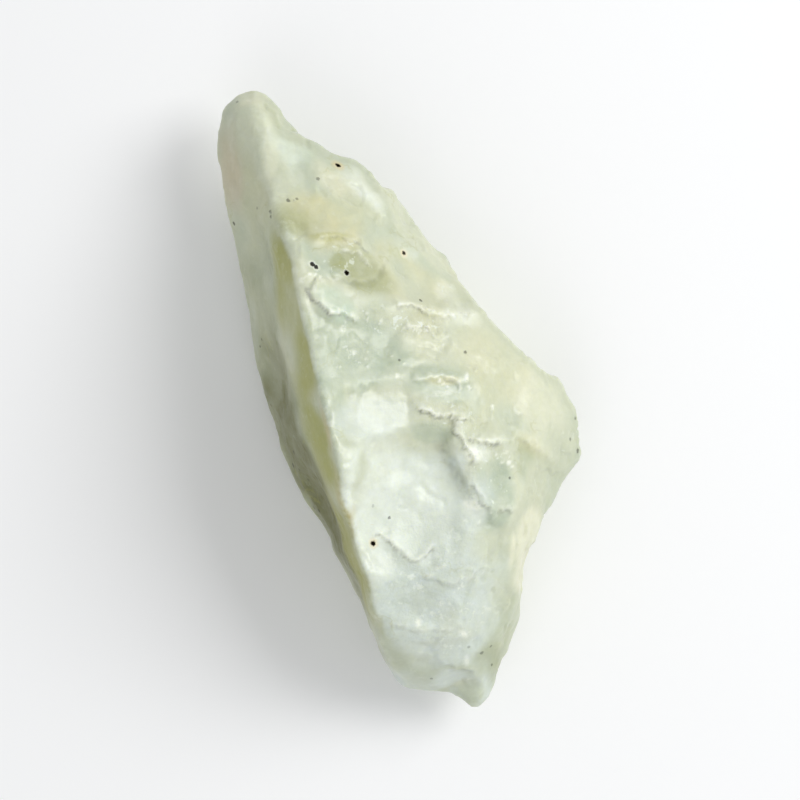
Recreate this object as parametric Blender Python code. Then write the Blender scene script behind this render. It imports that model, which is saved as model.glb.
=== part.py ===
"""Rough serpentine: one broken piece of pale green stone that lies on a flat of its underside.

The stone is drawn in millimetres, seen from above: +X towards its broad lobe, +Y towards its narrow tip,
+Z up. A net of points gives its break faces, subdivision rounds them, and hollow scars, ledges, chips and
a hackly grain are then worked into the surface. The last step fits the drawing to the real size in metres
and puts the origin at the middle of the underside.
"""

import math
import random

import bpy
import numpy as np
from mathutils import Vector, noise
from mathutils.geometry import delaunay_2d_cdt

# Real size in metres: across the broad lobe, from toe to tip, and from the rest face up to the crest.
STONE_WIDTH = 0.0280
STONE_LENGTH = 0.0472
STONE_HEIGHT = 0.0170

# How fine the mesh is. The voxel is in millimetres.
NET_LEVELS = 4
VOXEL = 0.22
TRIANGLES = 9600
SHARP_ANGLE = math.radians(40.0)

# How much of the underside is worn level, in millimetres, and how uneven the level may come out.
FLAT_DEPTH = 0.16
LEVEL_ERROR = 0.02

# Points that lie closer together than this in plan, in millimetres, count as one.
SAME_POINT = 1e-4

# The rim is where the upper faces meet the underside, as (x, y, z), clockwise from the tip.
RIM_TIP = [
    (-11.5, 23.8, 5.6), (-10.2, 23.7, 5.6), (-9.1, 22.5, 5.8), (-8.2, 21.2, 6.0),
]
RIM_UPPER_RIGHT = [
    (-6.4, 20.2, 6.2), (-4.7, 19.1, 6.4), (-2.8, 18.5, 6.5), (-1.5, 17.4, 6.2), (-0.3, 15.9, 5.6),
    (0.8, 14.2, 5.0), (2.1, 13.5, 4.6), (3.1, 12.5, 4.8), (3.8, 10.9, 5.4), (4.9, 9.4, 6.2),
    (6.4, 7.9, 6.8), (7.9, 6.2, 6.9), (9.3, 4.9, 6.5),
]
RIM_LOBE = [
    (10.9, 3.6, 5.9), (12.2, 2.1, 5.4), (13.1, 0.5, 5.0), (13.7, -1.0, 4.6), (14.0, -2.7, 4.2),
    (13.7, -4.2, 4.2), (12.2, -5.5, 4.8),
]
RIM_LOWER_RIGHT = [
    (11.5, -7.2, 5.5), (10.7, -8.7, 6.0), (10.3, -10.8, 6.1), (9.8, -12.7, 5.6), (9.3, -14.7, 4.8),
    (8.8, -16.8, 4.2), (8.3, -18.3, 4.0), (7.5, -19.6, 4.0), (7.1, -21.2, 4.0), (6.8, -22.6, 3.8),
]
RIM_TOE = [
    (5.8, -23.5, 3.8), (4.9, -23.1, 4.0), (4.2, -22.2, 4.4), (3.3, -21.7, 4.8), (2.0, -21.8, 5.0),
    (0.7, -21.7, 5.0), (-0.3, -21.2, 4.6),
]
RIM_LEFT = [
    (-1.2, -19.9, 4.0), (-2.0, -18.1, 3.4), (-2.8, -15.7, 2.8), (-4.0, -13.3, 2.3), (-5.6, -10.4, 1.7),
    (-7.3, -7.4, 1.4), (-8.8, -4.7, 1.6), (-9.8, -2.2, 2.2), (-10.5, 0.0, 2.6), (-11.1, 2.3, 2.6),
    (-11.5, 4.5, 2.2), (-11.6, 6.9, 2.0), (-12.0, 9.0, 2.4), (-12.4, 11.1, 3.1), (-12.8, 13.0, 3.8),
    (-13.5, 14.8, 4.4), (-13.8, 16.9, 4.8), (-14.0, 19.1, 5.0), (-14.0, 21.2, 5.2), (-13.7, 22.7, 5.4),
    (-12.8, 23.6, 5.5),
]
RIM = RIM_TIP + RIM_UPPER_RIGHT + RIM_LOBE + RIM_LOWER_RIGHT + RIM_TOE + RIM_LEFT

# The crest parts the steep left flank from the broad main face, from the tip down to the toe.
CREST = [
    (-11.3, 22.4, 8.6), (-10.3, 19.9, 9.6), (-10.1, 16.5, 10.8), (-9.3, 13.9, 12.5), (-8.3, 11.6, 14.1),
    (-7.7, 9.1, 14.9), (-7.1, 5.9, 15.2), (-6.2, 2.2, 16.2), (-5.3, -1.7, 17.1), (-4.2, -5.6, 16.9),
    (-3.3, -9.1, 15.6), (-2.5, -12.9, 14.0), (-1.9, -16.5, 11.4), (-1.1, -19.1, 8.6), (-0.1, -20.8, 6.4),
]
# The shoulder parts the main face from the steep face on the lower right.
SHOULDER = [
    (9.1, -5.0, 9.9), (9.0, -7.9, 9.7), (8.3, -10.0, 9.8), (8.4, -13.0, 8.6), (8.0, -16.3, 7.2),
    (6.9, -19.3, 6.4),
]

# Points of the upper faces. The flank's points bend it into a narrow upper and a steep lower band.
FLANK = [
    (-12.7, 21.6, 7.6), (-12.1, 18.2, 8.4), (-11.1, 15.0, 9.4), (-10.1, 11.7, 10.8), (-9.3, 9.1, 11.7),
    (-8.8, 5.6, 12.4), (-7.7, 1.7, 13.0), (-6.8, -2.2, 13.5), (-5.5, -6.5, 13.3), (-4.3, -10.8, 12.3),
    (-2.9, -14.2, 10.2),
]
UPPER_FACE = [
    (-9.9, 21.8, 8.4), (-8.4, 19.6, 8.8), (-6.8, 17.6, 9.8), (-4.0, 16.2, 9.4), (-1.2, 15.4, 8.6),
    (-4.6, 13.0, 11.4), (-1.1, 13.4, 9.2), (-6.3, 10.4, 13.6), (-2.7, 9.8, 12.2), (1.2, 10.0, 9.6),
]
MIDDLE_FACE = [
    (-4.6, 6.5, 14.0), (-0.7, 6.5, 12.6), (3.8, 6.9, 10.2), (-3.3, 2.6, 14.6), (1.2, 2.6, 13.0),
    (5.8, 3.2, 10.8), (9.7, 2.2, 8.2), (2.5, -0.7, 13.2), (6.4, -0.7, 11.8), (11.0, -0.9, 7.6),
    (8.4, -2.6, 10.6), (12.0, -3.2, 6.2), (-3.3, -2.0, 16.0), (-2.4, -7.2, 15.2), (0.6, -6.5, 13.8),
]
SHELF = [
    (5.1, -3.2, 12.6), (6.4, -6.5, 11.9), (7.6, -4.4, 11.2), (6.9, -8.6, 11.5), (5.5, -10.2, 12.4),
]
LOWER_FACE = [
    (-1.1, -11.1, 14.2), (1.9, -12.1, 13.2), (5.1, -13.0, 11.4), (-0.3, -15.6, 11.6), (3.2, -16.2, 10.8),
    (6.1, -16.9, 9.0), (0.6, -18.9, 8.8), (3.8, -19.5, 8.2), (5.4, -20.4, 7.0), (5.8, -22.3, 5.4),
    (2.5, -20.9, 6.6),
]
RIGHT_FACE = [(10.5, -6.4, 7.4), (9.8, -9.6, 7.6)]

# The rest face is the flat of the underside. Other points of the underside bend the faces round it.
REST_FACE = [
    (-8.6, 7.4, 0.0), (-4.4, 9.0, 0.0), (1.4, 6.2, 0.0), (5.8, 1.4, 0.0), (6.8, -3.6, 0.0),
    (5.4, -9.8, 0.0), (3.4, -14.4, 0.0), (0.6, -15.4, 0.0), (-1.9, -12.6, 0.0), (-4.4, -7.4, 0.0),
    (-7.0, -1.2, 0.0), (-8.6, 3.4, 0.0),
]
UNDERSIDE = [
    (-9.4, 13.2, 1.5), (-4.8, 13.8, 2.3), (-10.9, 18.6, 3.6), (0.2, 11.2, 1.9), (9.8, 0.4, 2.0),
    (11.0, -3.0, 1.9), (8.4, -8.2, 2.1), (6.2, -16.8, 1.4), (4.4, -20.2, 1.9), (0.8, -18.8, 2.0),
]

# How sharp the edges stay when the net is rounded: 0 is soft, 1 is a knife edge.
CREST_SHARPNESS = 0.92
TIP_SHARPNESS = 0.35
TIP_STARTS_AT = 14.5
SHOULDER_SHARPNESS = 0.70
RIM_SHARPNESS = 0.62
REST_SHARPNESS = 0.55

# The ways the stone is looked at when a mark is placed on it: the direction that the marked surface faces,
# and the two axes of the view that the mark's place is given in.
VIEWS = {
    "above": ((0.0, 0.0, 1.0), (0, 1)),
    "below": ((0.0, 0.0, -1.0), (0, 1)),
    "left": ((-1.0, 0.0, 0.0), (1, 2)),
    "right": ((1.0, 0.0, 0.0), (1, 2)),
}
FACING_LIMIT = 0.2

# Hollow scars left by struck-off flakes, as (view, place in it, radius of the hollow ball, depth).
SCARS = [
    ("above", (0.6, -5.4), 9.0, 1.15),
    ("above", (-0.4, -8.2), 8.5, 0.85),
    ("above", (-2.0, -0.6), 12.0, 0.50),
    ("above", (2.0, 13.1), 2.4, 0.60),
    ("above", (6.6, -5.6), 5.0, 0.40),
    ("above", (1.6, -15.0), 12.0, 0.40),
    ("above", (4.6, -20.8), 3.0, 0.40),
    ("above", (-2.6, 4.4), 11.0, 0.45),
    ("above", (-7.6, 17.9), 8.0, 0.30),
    ("above", (1.4, 9.4), 9.0, 0.40),
    ("above", (8.2, 0.6), 13.0, 0.30),
    ("below", (-6.4, 14.8), 9.0, 0.90),
    ("below", (-0.4, 10.8), 8.0, 0.80),
    ("below", (6.4, 5.4), 8.0, 1.00),
    ("below", (11.0, -1.4), 7.0, 0.90),
    ("below", (8.6, -10.5), 6.5, 0.85),
    ("below", (5.2, -17.8), 5.5, 0.70),
    ("below", (0.2, -18.2), 5.0, 0.50),
    ("below", (-8.6, 0.4), 8.0, 0.35),
    ("below", (-5.6, -9.4), 6.0, 0.50),
    ("left", (11.6, 7.8), 11.0, 0.50),
    ("left", (2.4, 7.4), 14.0, 0.50),
    ("left", (-7.4, 7.8), 11.0, 0.60),
    ("left", (-14.6, 7.2), 7.0, 0.45),
    ("right", (-12.0, 7.0), 8.0, 0.30),
]

# Ledges of the upper side, as (line of the step, rise, width of the step's face, how far the risen ground
# runs back). The ground on the left of the line is the higher one, as seen when walking along it.
LEDGES = [
    ([(1.8, -1.0), (2.7, -1.3), (3.7, -1.4), (4.6, -1.6)], 0.26, 0.30, 1.8),
    ([(4.1, -1.9), (4.0, -2.5), (5.0, -3.4), (5.5, -4.7)], 0.30, 0.35, 1.2),
    ([(5.8, -2.9), (6.8, -3.3), (7.7, -3.1)], 0.45, 0.30, 1.8),
    ([(8.6, -2.9), (9.9, -3.3), (11.0, -4.2), (11.8, -5.2)], 0.45, 1.00, 3.0),
    ([(3.2, -2.7), (4.1, -4.8), (4.7, -6.5), (5.9, -7.8), (7.5, -8.5)], 0.74, 1.35, 3.4),
    ([(-1.5, -10.3), (0.5, -11.4), (1.4, -12.0), (3.4, -11.2)], 0.45, 0.35, 2.6),
    ([(-0.7, 6.9), (1.2, 7.0), (2.6, 6.2), (5.1, 6.2), (6.4, 7.1)], 0.42, 0.40, 2.4),
    ([(0.6, 5.6), (2.4, 5.4), (3.2, 4.6)], 0.25, 0.35, 1.2),
    ([(-6.3, 12.2), (-4.0, 12.5), (-3.0, 11.8)], 0.28, 0.35, 1.6),
    ([(-4.7, 11.3), (-3.2, 11.2), (-1.4, 9.9)], 0.24, 0.35, 1.4),
    ([(1.2, 1.6), (3.2, 1.9), (4.9, 1.6)], 0.22, 0.40, 1.2),
    ([(-0.6, -16.8), (1.6, -17.6), (4.4, -17.2)], 0.25, 0.60, 2.0),
]
LEDGE_FADE = 0.90
LEDGE_WANDER = (0.40, 1.5)
LEDGE_RAGGEDNESS = 0.5
LEDGE_GROUND_SLOPE = 0.25

# A thin flake that still clings beside the crest: middle, half length, half width, turn and rise.
FLAKE_AT = (-5.1, 7.5)
FLAKE_HALF = (1.9, 1.15)
FLAKE_TURN = math.radians(-40.0)
FLAKE_RISE = 0.50
FLAKE_EDGE = 0.30
FLAKE_TILT = 0.5

# Small chips along the crest and the rim, below the smooth tip.
CHIP_COUNT = 46
CHIP_BALL = (1.2, 3.6)
CHIP_DEPTH = (0.08, 0.34)
CHIP_SPREAD = 0.8
CHIP_SEED = 7
CHIPPED_EDGES = RIM_UPPER_RIGHT + RIM_LOBE + RIM_LOWER_RIGHT + RIM_LEFT[1:9] + CREST[4:-2]

# The grain of the break: slow waves, scallops with sharp borders, and fine hackle, as (height, length).
# Scallops and hackle are strong in some patches of the surface and weak in others.
WAVES = (0.28, 6.5)
SCALLOPS = (0.28, 2.4)
SCALLOP_MIDDLE = 0.25
SCALLOP_BEND = 0.5
HACKLE = (0.09, 1.0)
HACKLE_OCTAVES = (0.8, 2.2, 3)
PATCH_LENGTH = 7.5
PATCH_MIDDLE = 0.6
PATCH_CONTRAST = 1.6
PATCH_STRENGTH = (0.15, 1.0)
WAVE_SHIFT = Vector((5.0, 1.0, 3.0))
# Where the three parts of a wandering vector are read from the same noise.
STRAY_SHIFTS = (Vector((9.3, -1.5, -7.9)), Vector((-5.2, 12.6, 3.1)), Vector((14.8, 6.4, -10.7)))


def clear_scene():
    """Removes every object, so that only the stone is left in the scene."""
    for obj in list(bpy.data.objects):
        bpy.data.objects.remove(obj, do_unlink=True)


def triangulate(rim_count, points, lines):
    """Fills the rim with triangles that use every point, and keeps the lines as edges."""
    rim = [(i, (i + 1) % rim_count) for i in range(rim_count)]
    flat = [Vector(point[:2]) for point in points]
    _, _, faces, origins, _, _ = delaunay_2d_cdt(flat, rim + lines, [], 1, SAME_POINT)
    return [[origins[corner][0] for corner in face] for face in faces]


def chain(first, count, closed=False):
    """The edges that join `count` points in a row, the first of which has the index `first`."""
    last = count if closed else count - 1
    return [(first + i, first + (i + 1) % count) for i in range(last)]


def edge_sharpness(net, crest_edges, shoulder_edges, rest_edges):
    """How sharp each of the net's marked edges stays, by the pair of points it joins."""
    sharp = {frozenset(edge): RIM_SHARPNESS for edge in chain(0, len(RIM), closed=True)}
    for edge in crest_edges:
        in_tip = net[edge[0]][1] > TIP_STARTS_AT
        sharp[frozenset(edge)] = TIP_SHARPNESS if in_tip else CREST_SHARPNESS
    sharp.update((frozenset(edge), SHOULDER_SHARPNESS) for edge in shoulder_edges)
    sharp.update((frozenset(edge), REST_SHARPNESS) for edge in rest_edges)
    return sharp


def build_net():
    """The net of break faces as a mesh object, with its sharp edges marked."""
    upper = CREST + SHOULDER + FLANK + UPPER_FACE + MIDDLE_FACE + SHELF + LOWER_FACE + RIGHT_FACE
    lower = REST_FACE + UNDERSIDE
    rim_count = len(RIM)
    crest_edges = chain(rim_count, len(CREST))
    shoulder_edges = chain(rim_count + len(CREST), len(SHOULDER))
    rest_edges = chain(rim_count, len(REST_FACE), closed=True)
    upper_faces = triangulate(rim_count, RIM + upper, crest_edges + shoulder_edges)
    lower_faces = triangulate(rim_count, RIM + lower, rest_edges)

    net = RIM + upper + lower
    shift = len(upper)
    faces = [tuple(face) for face in upper_faces]
    for face in lower_faces:
        faces.append(tuple(i if i < rim_count else i + shift for i in reversed(face)))
    rest_edges = [(a + shift, b + shift) for a, b in rest_edges]

    mesh = bpy.data.meshes.new("stone_net")
    mesh.from_pydata(net, [], faces)
    marked = edge_sharpness(net, crest_edges, shoulder_edges, rest_edges)
    crease = mesh.attributes.new("crease_edge", "FLOAT", "EDGE")
    for edge in mesh.edges:
        crease.data[edge.index].value = marked.get(frozenset(edge.vertices), 0.0)
    stone = bpy.data.objects.new("serpentine_stone", mesh)
    bpy.context.scene.collection.objects.link(stone)
    return stone


def apply_modifiers(stone):
    """Turns the object's modifiers into its own mesh."""
    graph = bpy.context.evaluated_depsgraph_get()
    finished = bpy.data.meshes.new_from_object(stone.evaluated_get(graph))
    rough = stone.data
    stone.modifiers.clear()
    stone.data = finished
    bpy.data.meshes.remove(rough)


def points_of(mesh):
    """The mesh's points as an array."""
    points = np.empty(len(mesh.vertices) * 3)
    mesh.vertices.foreach_get("co", points)
    return points.reshape(-1, 3)


def normals_of(mesh):
    """The mesh's outward directions, one for each point."""
    normals = np.empty(len(mesh.vertices) * 3, dtype=np.float32)
    mesh.vertex_normals.foreach_get("vector", normals)
    return normals.reshape(-1, 3).astype(float)


def set_points(mesh, points):
    """Moves the mesh's points to the places in the array."""
    mesh.vertices.foreach_set("co", points.ravel())
    mesh.update()


def smooth_step(value):
    """0 up to 0, 1 from 1, and a soft rise between."""
    value = np.clip(value, 0.0, 1.0)
    return value * value * (3.0 - 2.0 * value)


def hollow(points, normals, at, ball, depth):
    """Presses a ball into the surface round the point `at`, down to its depth, which leaves a flake's scar."""
    reach = math.sqrt(2.0 * ball * depth - depth * depth)
    near = np.linalg.norm(points - at, axis=1) < reach
    outward = normals[near].sum(axis=0)
    outward /= np.linalg.norm(outward)
    arm = points - (at + outward * (ball - depth))
    cover = ball * ball - (arm * arm).sum(axis=1)
    inside = cover > 0.0
    above = arm[inside] @ outward
    sink = above + np.sqrt(cover[inside] + above * above)
    points[inside] -= sink[:, None] * outward


def spot_in_view(points, normals, view, place):
    """The surface point that shows at a place in one of the views."""
    facing, axes = VIEWS[view]
    seen = np.flatnonzero(normals @ np.array(facing) > FACING_LIMIT)
    gap = points[seen][:, axes] - np.array(place)
    return points[seen[np.argmin((gap * gap).sum(axis=1))]]


def strike_scars(mesh):
    """Hollows the surface where the large flakes came off."""
    points = points_of(mesh)
    normals = normals_of(mesh)
    for view, place, ball, depth in SCARS:
        at = spot_in_view(points, normals, view, place).copy()
        hollow(points, normals, at, ball, depth)
    set_points(mesh, points)


def nearest_on_line(plan, line):
    """Each point's signed distance to a line, positive on its left, and its distance past the line's ends."""
    best = np.full(len(plan), np.inf)
    side = np.zeros(len(plan))
    beyond = np.zeros(len(plan))
    for index, (start, end) in enumerate(zip(line, line[1:])):
        start, end = np.array(start), np.array(end)
        run = np.linalg.norm(end - start)
        along = (end - start) / run
        offset = plan - start
        forward = offset @ along
        across = along[0] * offset[:, 1] - along[1] * offset[:, 0]
        clamped = np.clip(forward, 0.0, run)
        gap = np.hypot(across, forward - clamped)
        closer = gap < best
        best[closer] = gap[closer]
        side[closer] = np.sign(across[closer]) * gap[closer]
        past = np.zeros(len(plan))
        if index == 0:
            past = np.maximum(past, -forward)
        if index == len(line) - 2:
            past = np.maximum(past, forward - run)
        beyond[closer] = past[closer]
    return side, beyond


def stray_at(place):
    """A slow wandering vector at a place, the same at each run."""
    return Vector([noise.noise(place + shift) for shift in STRAY_SHIFTS])


def raise_ledges(mesh):
    """Lifts the ground on the left of each ledge line, steep at the line and fading out behind it."""
    points = points_of(mesh)
    above = smooth_step(normals_of(mesh)[:, 2] / LEDGE_GROUND_SLOPE)
    reach, length = LEDGE_WANDER
    wander = np.array([stray_at(Vector(point) / length) for point in points])
    plan = points[:, :2] + reach * wander[:, :2]
    ragged = 1.0 + LEDGE_RAGGEDNESS * wander[:, 2]
    for line, rise, width, run in LEDGES:
        side, beyond = nearest_on_line(plan, line)
        face = smooth_step(side / width + 0.5)
        back = 1.0 - smooth_step(side / run)
        ends = 1.0 - smooth_step(beyond / LEDGE_FADE)
        points[:, 2] += rise * ragged * face * back * ends * above
    set_points(mesh, points)


def raise_flake(mesh):
    """Lifts the clinging flake: a lens with one steep side and one that runs into the face."""
    points = points_of(mesh)
    above = smooth_step(normals_of(mesh)[:, 2] / LEDGE_GROUND_SLOPE)
    offset = points[:, :2] - np.array(FLAKE_AT)
    cos, sin = math.cos(FLAKE_TURN), math.sin(FLAKE_TURN)
    long = (offset[:, 0] * cos + offset[:, 1] * sin) / FLAKE_HALF[0]
    wide = (offset[:, 1] * cos - offset[:, 0] * sin) / FLAKE_HALF[1]
    edge = smooth_step((1.0 - np.hypot(long, wide)) / FLAKE_EDGE)
    slope = 1.0 - smooth_step(FLAKE_TILT * (1.0 + wide))
    points[:, 2] += FLAKE_RISE * edge * slope * above
    set_points(mesh, points)


def chip_edges(mesh):
    """Knocks small chips off the crest and the rim."""
    points = points_of(mesh)
    normals = normals_of(mesh)
    dice = random.Random(CHIP_SEED)
    for _ in range(CHIP_COUNT):
        stray = [dice.uniform(-CHIP_SPREAD, CHIP_SPREAD) for _ in range(3)]
        spot = np.array(dice.choice(CHIPPED_EDGES)) + np.array(stray)
        at = points[np.argmin(((points - spot) ** 2).sum(axis=1))].copy()
        hollow(points, normals, at, dice.uniform(*CHIP_BALL), dice.uniform(*CHIP_DEPTH))
    set_points(mesh, points)


def grain_height(point):
    """How far the broken surface stands out at a point, from its waves, scallops and hackle."""
    wave = noise.noise(point / WAVES[1] + WAVE_SHIFT)
    bent = point + SCALLOP_BEND * stray_at(point / SCALLOPS[1])
    gap = noise.voronoi(bent / SCALLOPS[1])[0][0]
    scallop = gap * gap - SCALLOP_MIDDLE
    hackle = noise.fractal(point / HACKLE[1], *HACKLE_OCTAVES)
    patch = PATCH_MIDDLE + PATCH_CONTRAST * noise.noise(point / PATCH_LENGTH)
    patch = min(max(patch, PATCH_STRENGTH[0]), PATCH_STRENGTH[1])
    return WAVES[0] * wave + patch * (SCALLOPS[0] * scallop + HACKLE[0] * hackle)


def roughen(mesh):
    """Works the grain of the break into the surface."""
    points = points_of(mesh)
    heights = np.array([grain_height(Vector(point)) for point in points])
    set_points(mesh, points + normals_of(mesh) * heights[:, None])


def flatten_rest(mesh, depth):
    """Levels everything up to `depth` over the lowest point, which makes the flat that the stone rests on."""
    points = points_of(mesh)
    points[:, 2] = np.maximum(points[:, 2] - points[:, 2].min() - depth, 0.0)
    set_points(mesh, points)


def fit_to_size(mesh):
    """Brings the drawing to the real size in metres, with the origin under the middle of its box."""
    points = points_of(mesh)
    low, high = points.min(axis=0), points.max(axis=0)
    origin = np.array([(low[0] + high[0]) / 2.0, (low[1] + high[1]) / 2.0, low[2]])
    size = np.array([STONE_WIDTH, STONE_LENGTH, STONE_HEIGHT])
    set_points(mesh, (points - origin) * size / (high - low))


def stone_material():
    """Pale green stone with a waxy break."""
    material = bpy.data.materials.new("pale_serpentine")
    material.use_nodes = True
    shader = material.node_tree.nodes["Principled BSDF"]
    shader.inputs["Base Color"].default_value = (0.60, 0.63, 0.46, 1.0)
    shader.inputs["Roughness"].default_value = 0.48
    shader.inputs["Metallic"].default_value = 0.0
    return material


def build_stone():
    """Builds the stone from its net to its finished surface."""
    stone = build_net()
    rounding = stone.modifiers.new("rounding", "SUBSURF")
    rounding.levels = NET_LEVELS
    rounding.render_levels = NET_LEVELS
    apply_modifiers(stone)
    strike_scars(stone.data)
    raise_ledges(stone.data)
    raise_flake(stone.data)
    chip_edges(stone.data)
    roughen(stone.data)
    flatten_rest(stone.data, FLAT_DEPTH)

    skin = stone.modifiers.new("even_skin", "REMESH")
    skin.mode = "VOXEL"
    skin.voxel_size = VOXEL
    skin.adaptivity = 0.0
    apply_modifiers(stone)
    stone.data.calc_loop_triangles()
    thinning = stone.modifiers.new("thinning", "DECIMATE")
    thinning.ratio = TRIANGLES / len(stone.data.loop_triangles)
    thinning.use_collapse_triangulate = True
    apply_modifiers(stone)
    flatten_rest(stone.data, LEVEL_ERROR)
    fit_to_size(stone.data)
    stone.data.shade_smooth()
    stone.data.set_sharp_from_angle(angle=SHARP_ANGLE)
    stone.data.materials.append(stone_material())
    return stone


clear_scene()
build_stone()
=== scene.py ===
"""Rough serpentine: a broken wedge of pale green stone on a pale floor.

The stone's solid comes from the frame. Here its skin is made fine, worked over with the grain of the break,
and dressed in a waxy finish whose colours follow the stone: a milky hollow, a yellow band, an olive flank;
the flank's darkness, the hollows and the feet of the ledges also carry painted shade.
Lengths are metres, and a name that ends in _mm holds millimetres.
"""

import logging
import math
from dataclasses import dataclass, field
from enum import Enum

import bpy
import numpy as np
from mathutils import Matrix, Vector, noise


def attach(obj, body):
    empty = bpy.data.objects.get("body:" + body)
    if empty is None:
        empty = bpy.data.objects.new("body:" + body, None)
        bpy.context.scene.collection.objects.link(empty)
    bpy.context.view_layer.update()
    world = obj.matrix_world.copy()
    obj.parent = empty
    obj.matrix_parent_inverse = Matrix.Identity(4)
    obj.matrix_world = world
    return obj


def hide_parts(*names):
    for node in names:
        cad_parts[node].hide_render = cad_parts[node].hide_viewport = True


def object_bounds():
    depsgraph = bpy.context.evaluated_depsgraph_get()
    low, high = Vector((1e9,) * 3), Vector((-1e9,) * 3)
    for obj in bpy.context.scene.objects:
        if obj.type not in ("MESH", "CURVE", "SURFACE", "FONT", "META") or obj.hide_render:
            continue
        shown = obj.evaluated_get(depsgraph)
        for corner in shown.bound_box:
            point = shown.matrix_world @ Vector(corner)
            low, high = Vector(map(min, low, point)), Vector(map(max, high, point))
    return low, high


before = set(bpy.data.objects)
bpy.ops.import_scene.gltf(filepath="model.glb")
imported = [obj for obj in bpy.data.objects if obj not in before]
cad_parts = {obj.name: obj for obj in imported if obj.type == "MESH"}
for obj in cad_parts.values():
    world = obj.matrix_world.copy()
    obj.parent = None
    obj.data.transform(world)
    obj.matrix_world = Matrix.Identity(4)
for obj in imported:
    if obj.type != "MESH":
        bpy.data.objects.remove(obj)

Socket = bpy.types.NodeSocket
MM = 0.001
CAD_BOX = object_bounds()
LOG = logging.getLogger("rough_serpentine")


class Tone(Enum):
    """The colours of the stone, as display values from 0 to 255."""

    PALE = (209, 213, 189)
    GREY_GREEN = (182, 193, 171)
    MILK = (229, 235, 223)
    CREAM = (229, 228, 202)
    YELLOW = (212, 209, 168)
    OLIVE = (168, 168, 92)
    PEARL = (213, 222, 215)
    MOSS = (160, 166, 134)
    BROWN = (92, 89, 28)
    OCHRE = (204, 186, 128)
    TAN = (200, 190, 160)
    MINT = (200, 217, 197)
    BRUISE = (246, 248, 236)
    SHADOW = (92, 96, 68)
    SPECK = (16, 12, 7)
    RUST = (226, 196, 128)
    FLOOR = (250, 250, 250)

    @property
    def linear(self) -> tuple[float, float, float, float]:
        """The colour as the shader takes it."""
        return tuple(linear_value(part / 255.0) for part in self.value) + (1.0,)


def linear_value(display: float) -> float:
    """Turns one display value into a linear one.

    Args:
        display: The value as shown on a screen, from 0 to 1.

    Returns:
        The linear value, from 0 to 1.
    """
    if display <= 0.04045:
        return display / 12.92
    return ((display + 0.055) / 1.055) ** 2.4


def smooth_step(value: np.ndarray) -> np.ndarray:
    """Rises softly from 0 to 1.

    Args:
        value: Any numbers; 0 and less gives 0, and 1 and more gives 1.

    Returns:
        The softened numbers.
    """
    value = np.clip(value, 0.0, 1.0)
    return value * value * (3.0 - 2.0 * value)


# Where the three parts of a wandering vector are read from the same noise.
STRAY_SHIFTS = (Vector((9.3, -1.5, -7.9)), Vector((-5.2, 12.6, 3.1)), Vector((14.8, 6.4, -10.7)))


def stray_at(points_mm: np.ndarray, length_mm: float) -> np.ndarray:
    """Gives a slow wandering vector at each point, the same at each run.

    Args:
        points_mm: The points as rows, in millimetres.
        length_mm: How long the wandering's bends are.

    Returns:
        The vectors as rows, each part from about -1 to 1.
    """
    places = [Vector(point) / length_mm for point in points_mm]
    return np.array([[noise.noise(place + shift) for shift in STRAY_SHIFTS] for place in places])


class Zone(Enum):
    """The tinted zones of the stone. Each is a point attribute that the finish reads."""

    MILKY = "zone_milky"
    YELLOW = "zone_yellow"
    CREAM = "zone_cream"
    GREY = "zone_grey"
    OLIVE = "zone_olive"
    MOSS = "zone_moss"
    BROWN = "zone_brown"
    TAN = "zone_tan"
    MINT = "zone_mint"
    PEARL = "zone_pearl"
    OCHRE = "zone_ochre"
    BRUISED = "zone_bruised"
    SUGARY = "zone_sugary"


@dataclass(frozen=True)
class Patch:
    """One soft-edged patch of a zone: an upright ellipsoid round a place on the stone.

    Attributes:
        at_mm: The middle, as (x, y, z).
        half_mm: The half sizes along its own length and width, and in height.
        turn: How far its length is turned from +X towards +Y, in degrees.
        strength: How strong the tint is in the middle, from 0 to 1.
        soft: The share of the patch that its edge fades over.
        wander: How far its edge strays, as a share of its smaller half size in plan.
    """

    at_mm: tuple[float, float, float]
    half_mm: tuple[float, float, float]
    turn: float = 0.0
    strength: float = 1.0
    soft: float = 0.5
    wander: float = 0.3

    def cover(self, points_mm: np.ndarray, stray: np.ndarray) -> np.ndarray:
        """Says how strongly the patch covers each point.

        Args:
            points_mm: The points, one row each.
            stray: A slowly changing direction for each point, one row each.

        Returns:
            One number for each point, from 0 to the patch's strength.
        """
        offset = points_mm + self.wander * min(self.half_mm[:2]) * stray - np.array(self.at_mm)
        cos, sin = math.cos(math.radians(self.turn)), math.sin(math.radians(self.turn))
        along = (offset[:, 0] * cos + offset[:, 1] * sin) / self.half_mm[0]
        across = (offset[:, 1] * cos - offset[:, 0] * sin) / self.half_mm[1]
        up = offset[:, 2] / self.half_mm[2]
        reach = np.sqrt(along * along + across * across + up * up)
        return self.strength * smooth_step((1.0 - reach) / self.soft)


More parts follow.
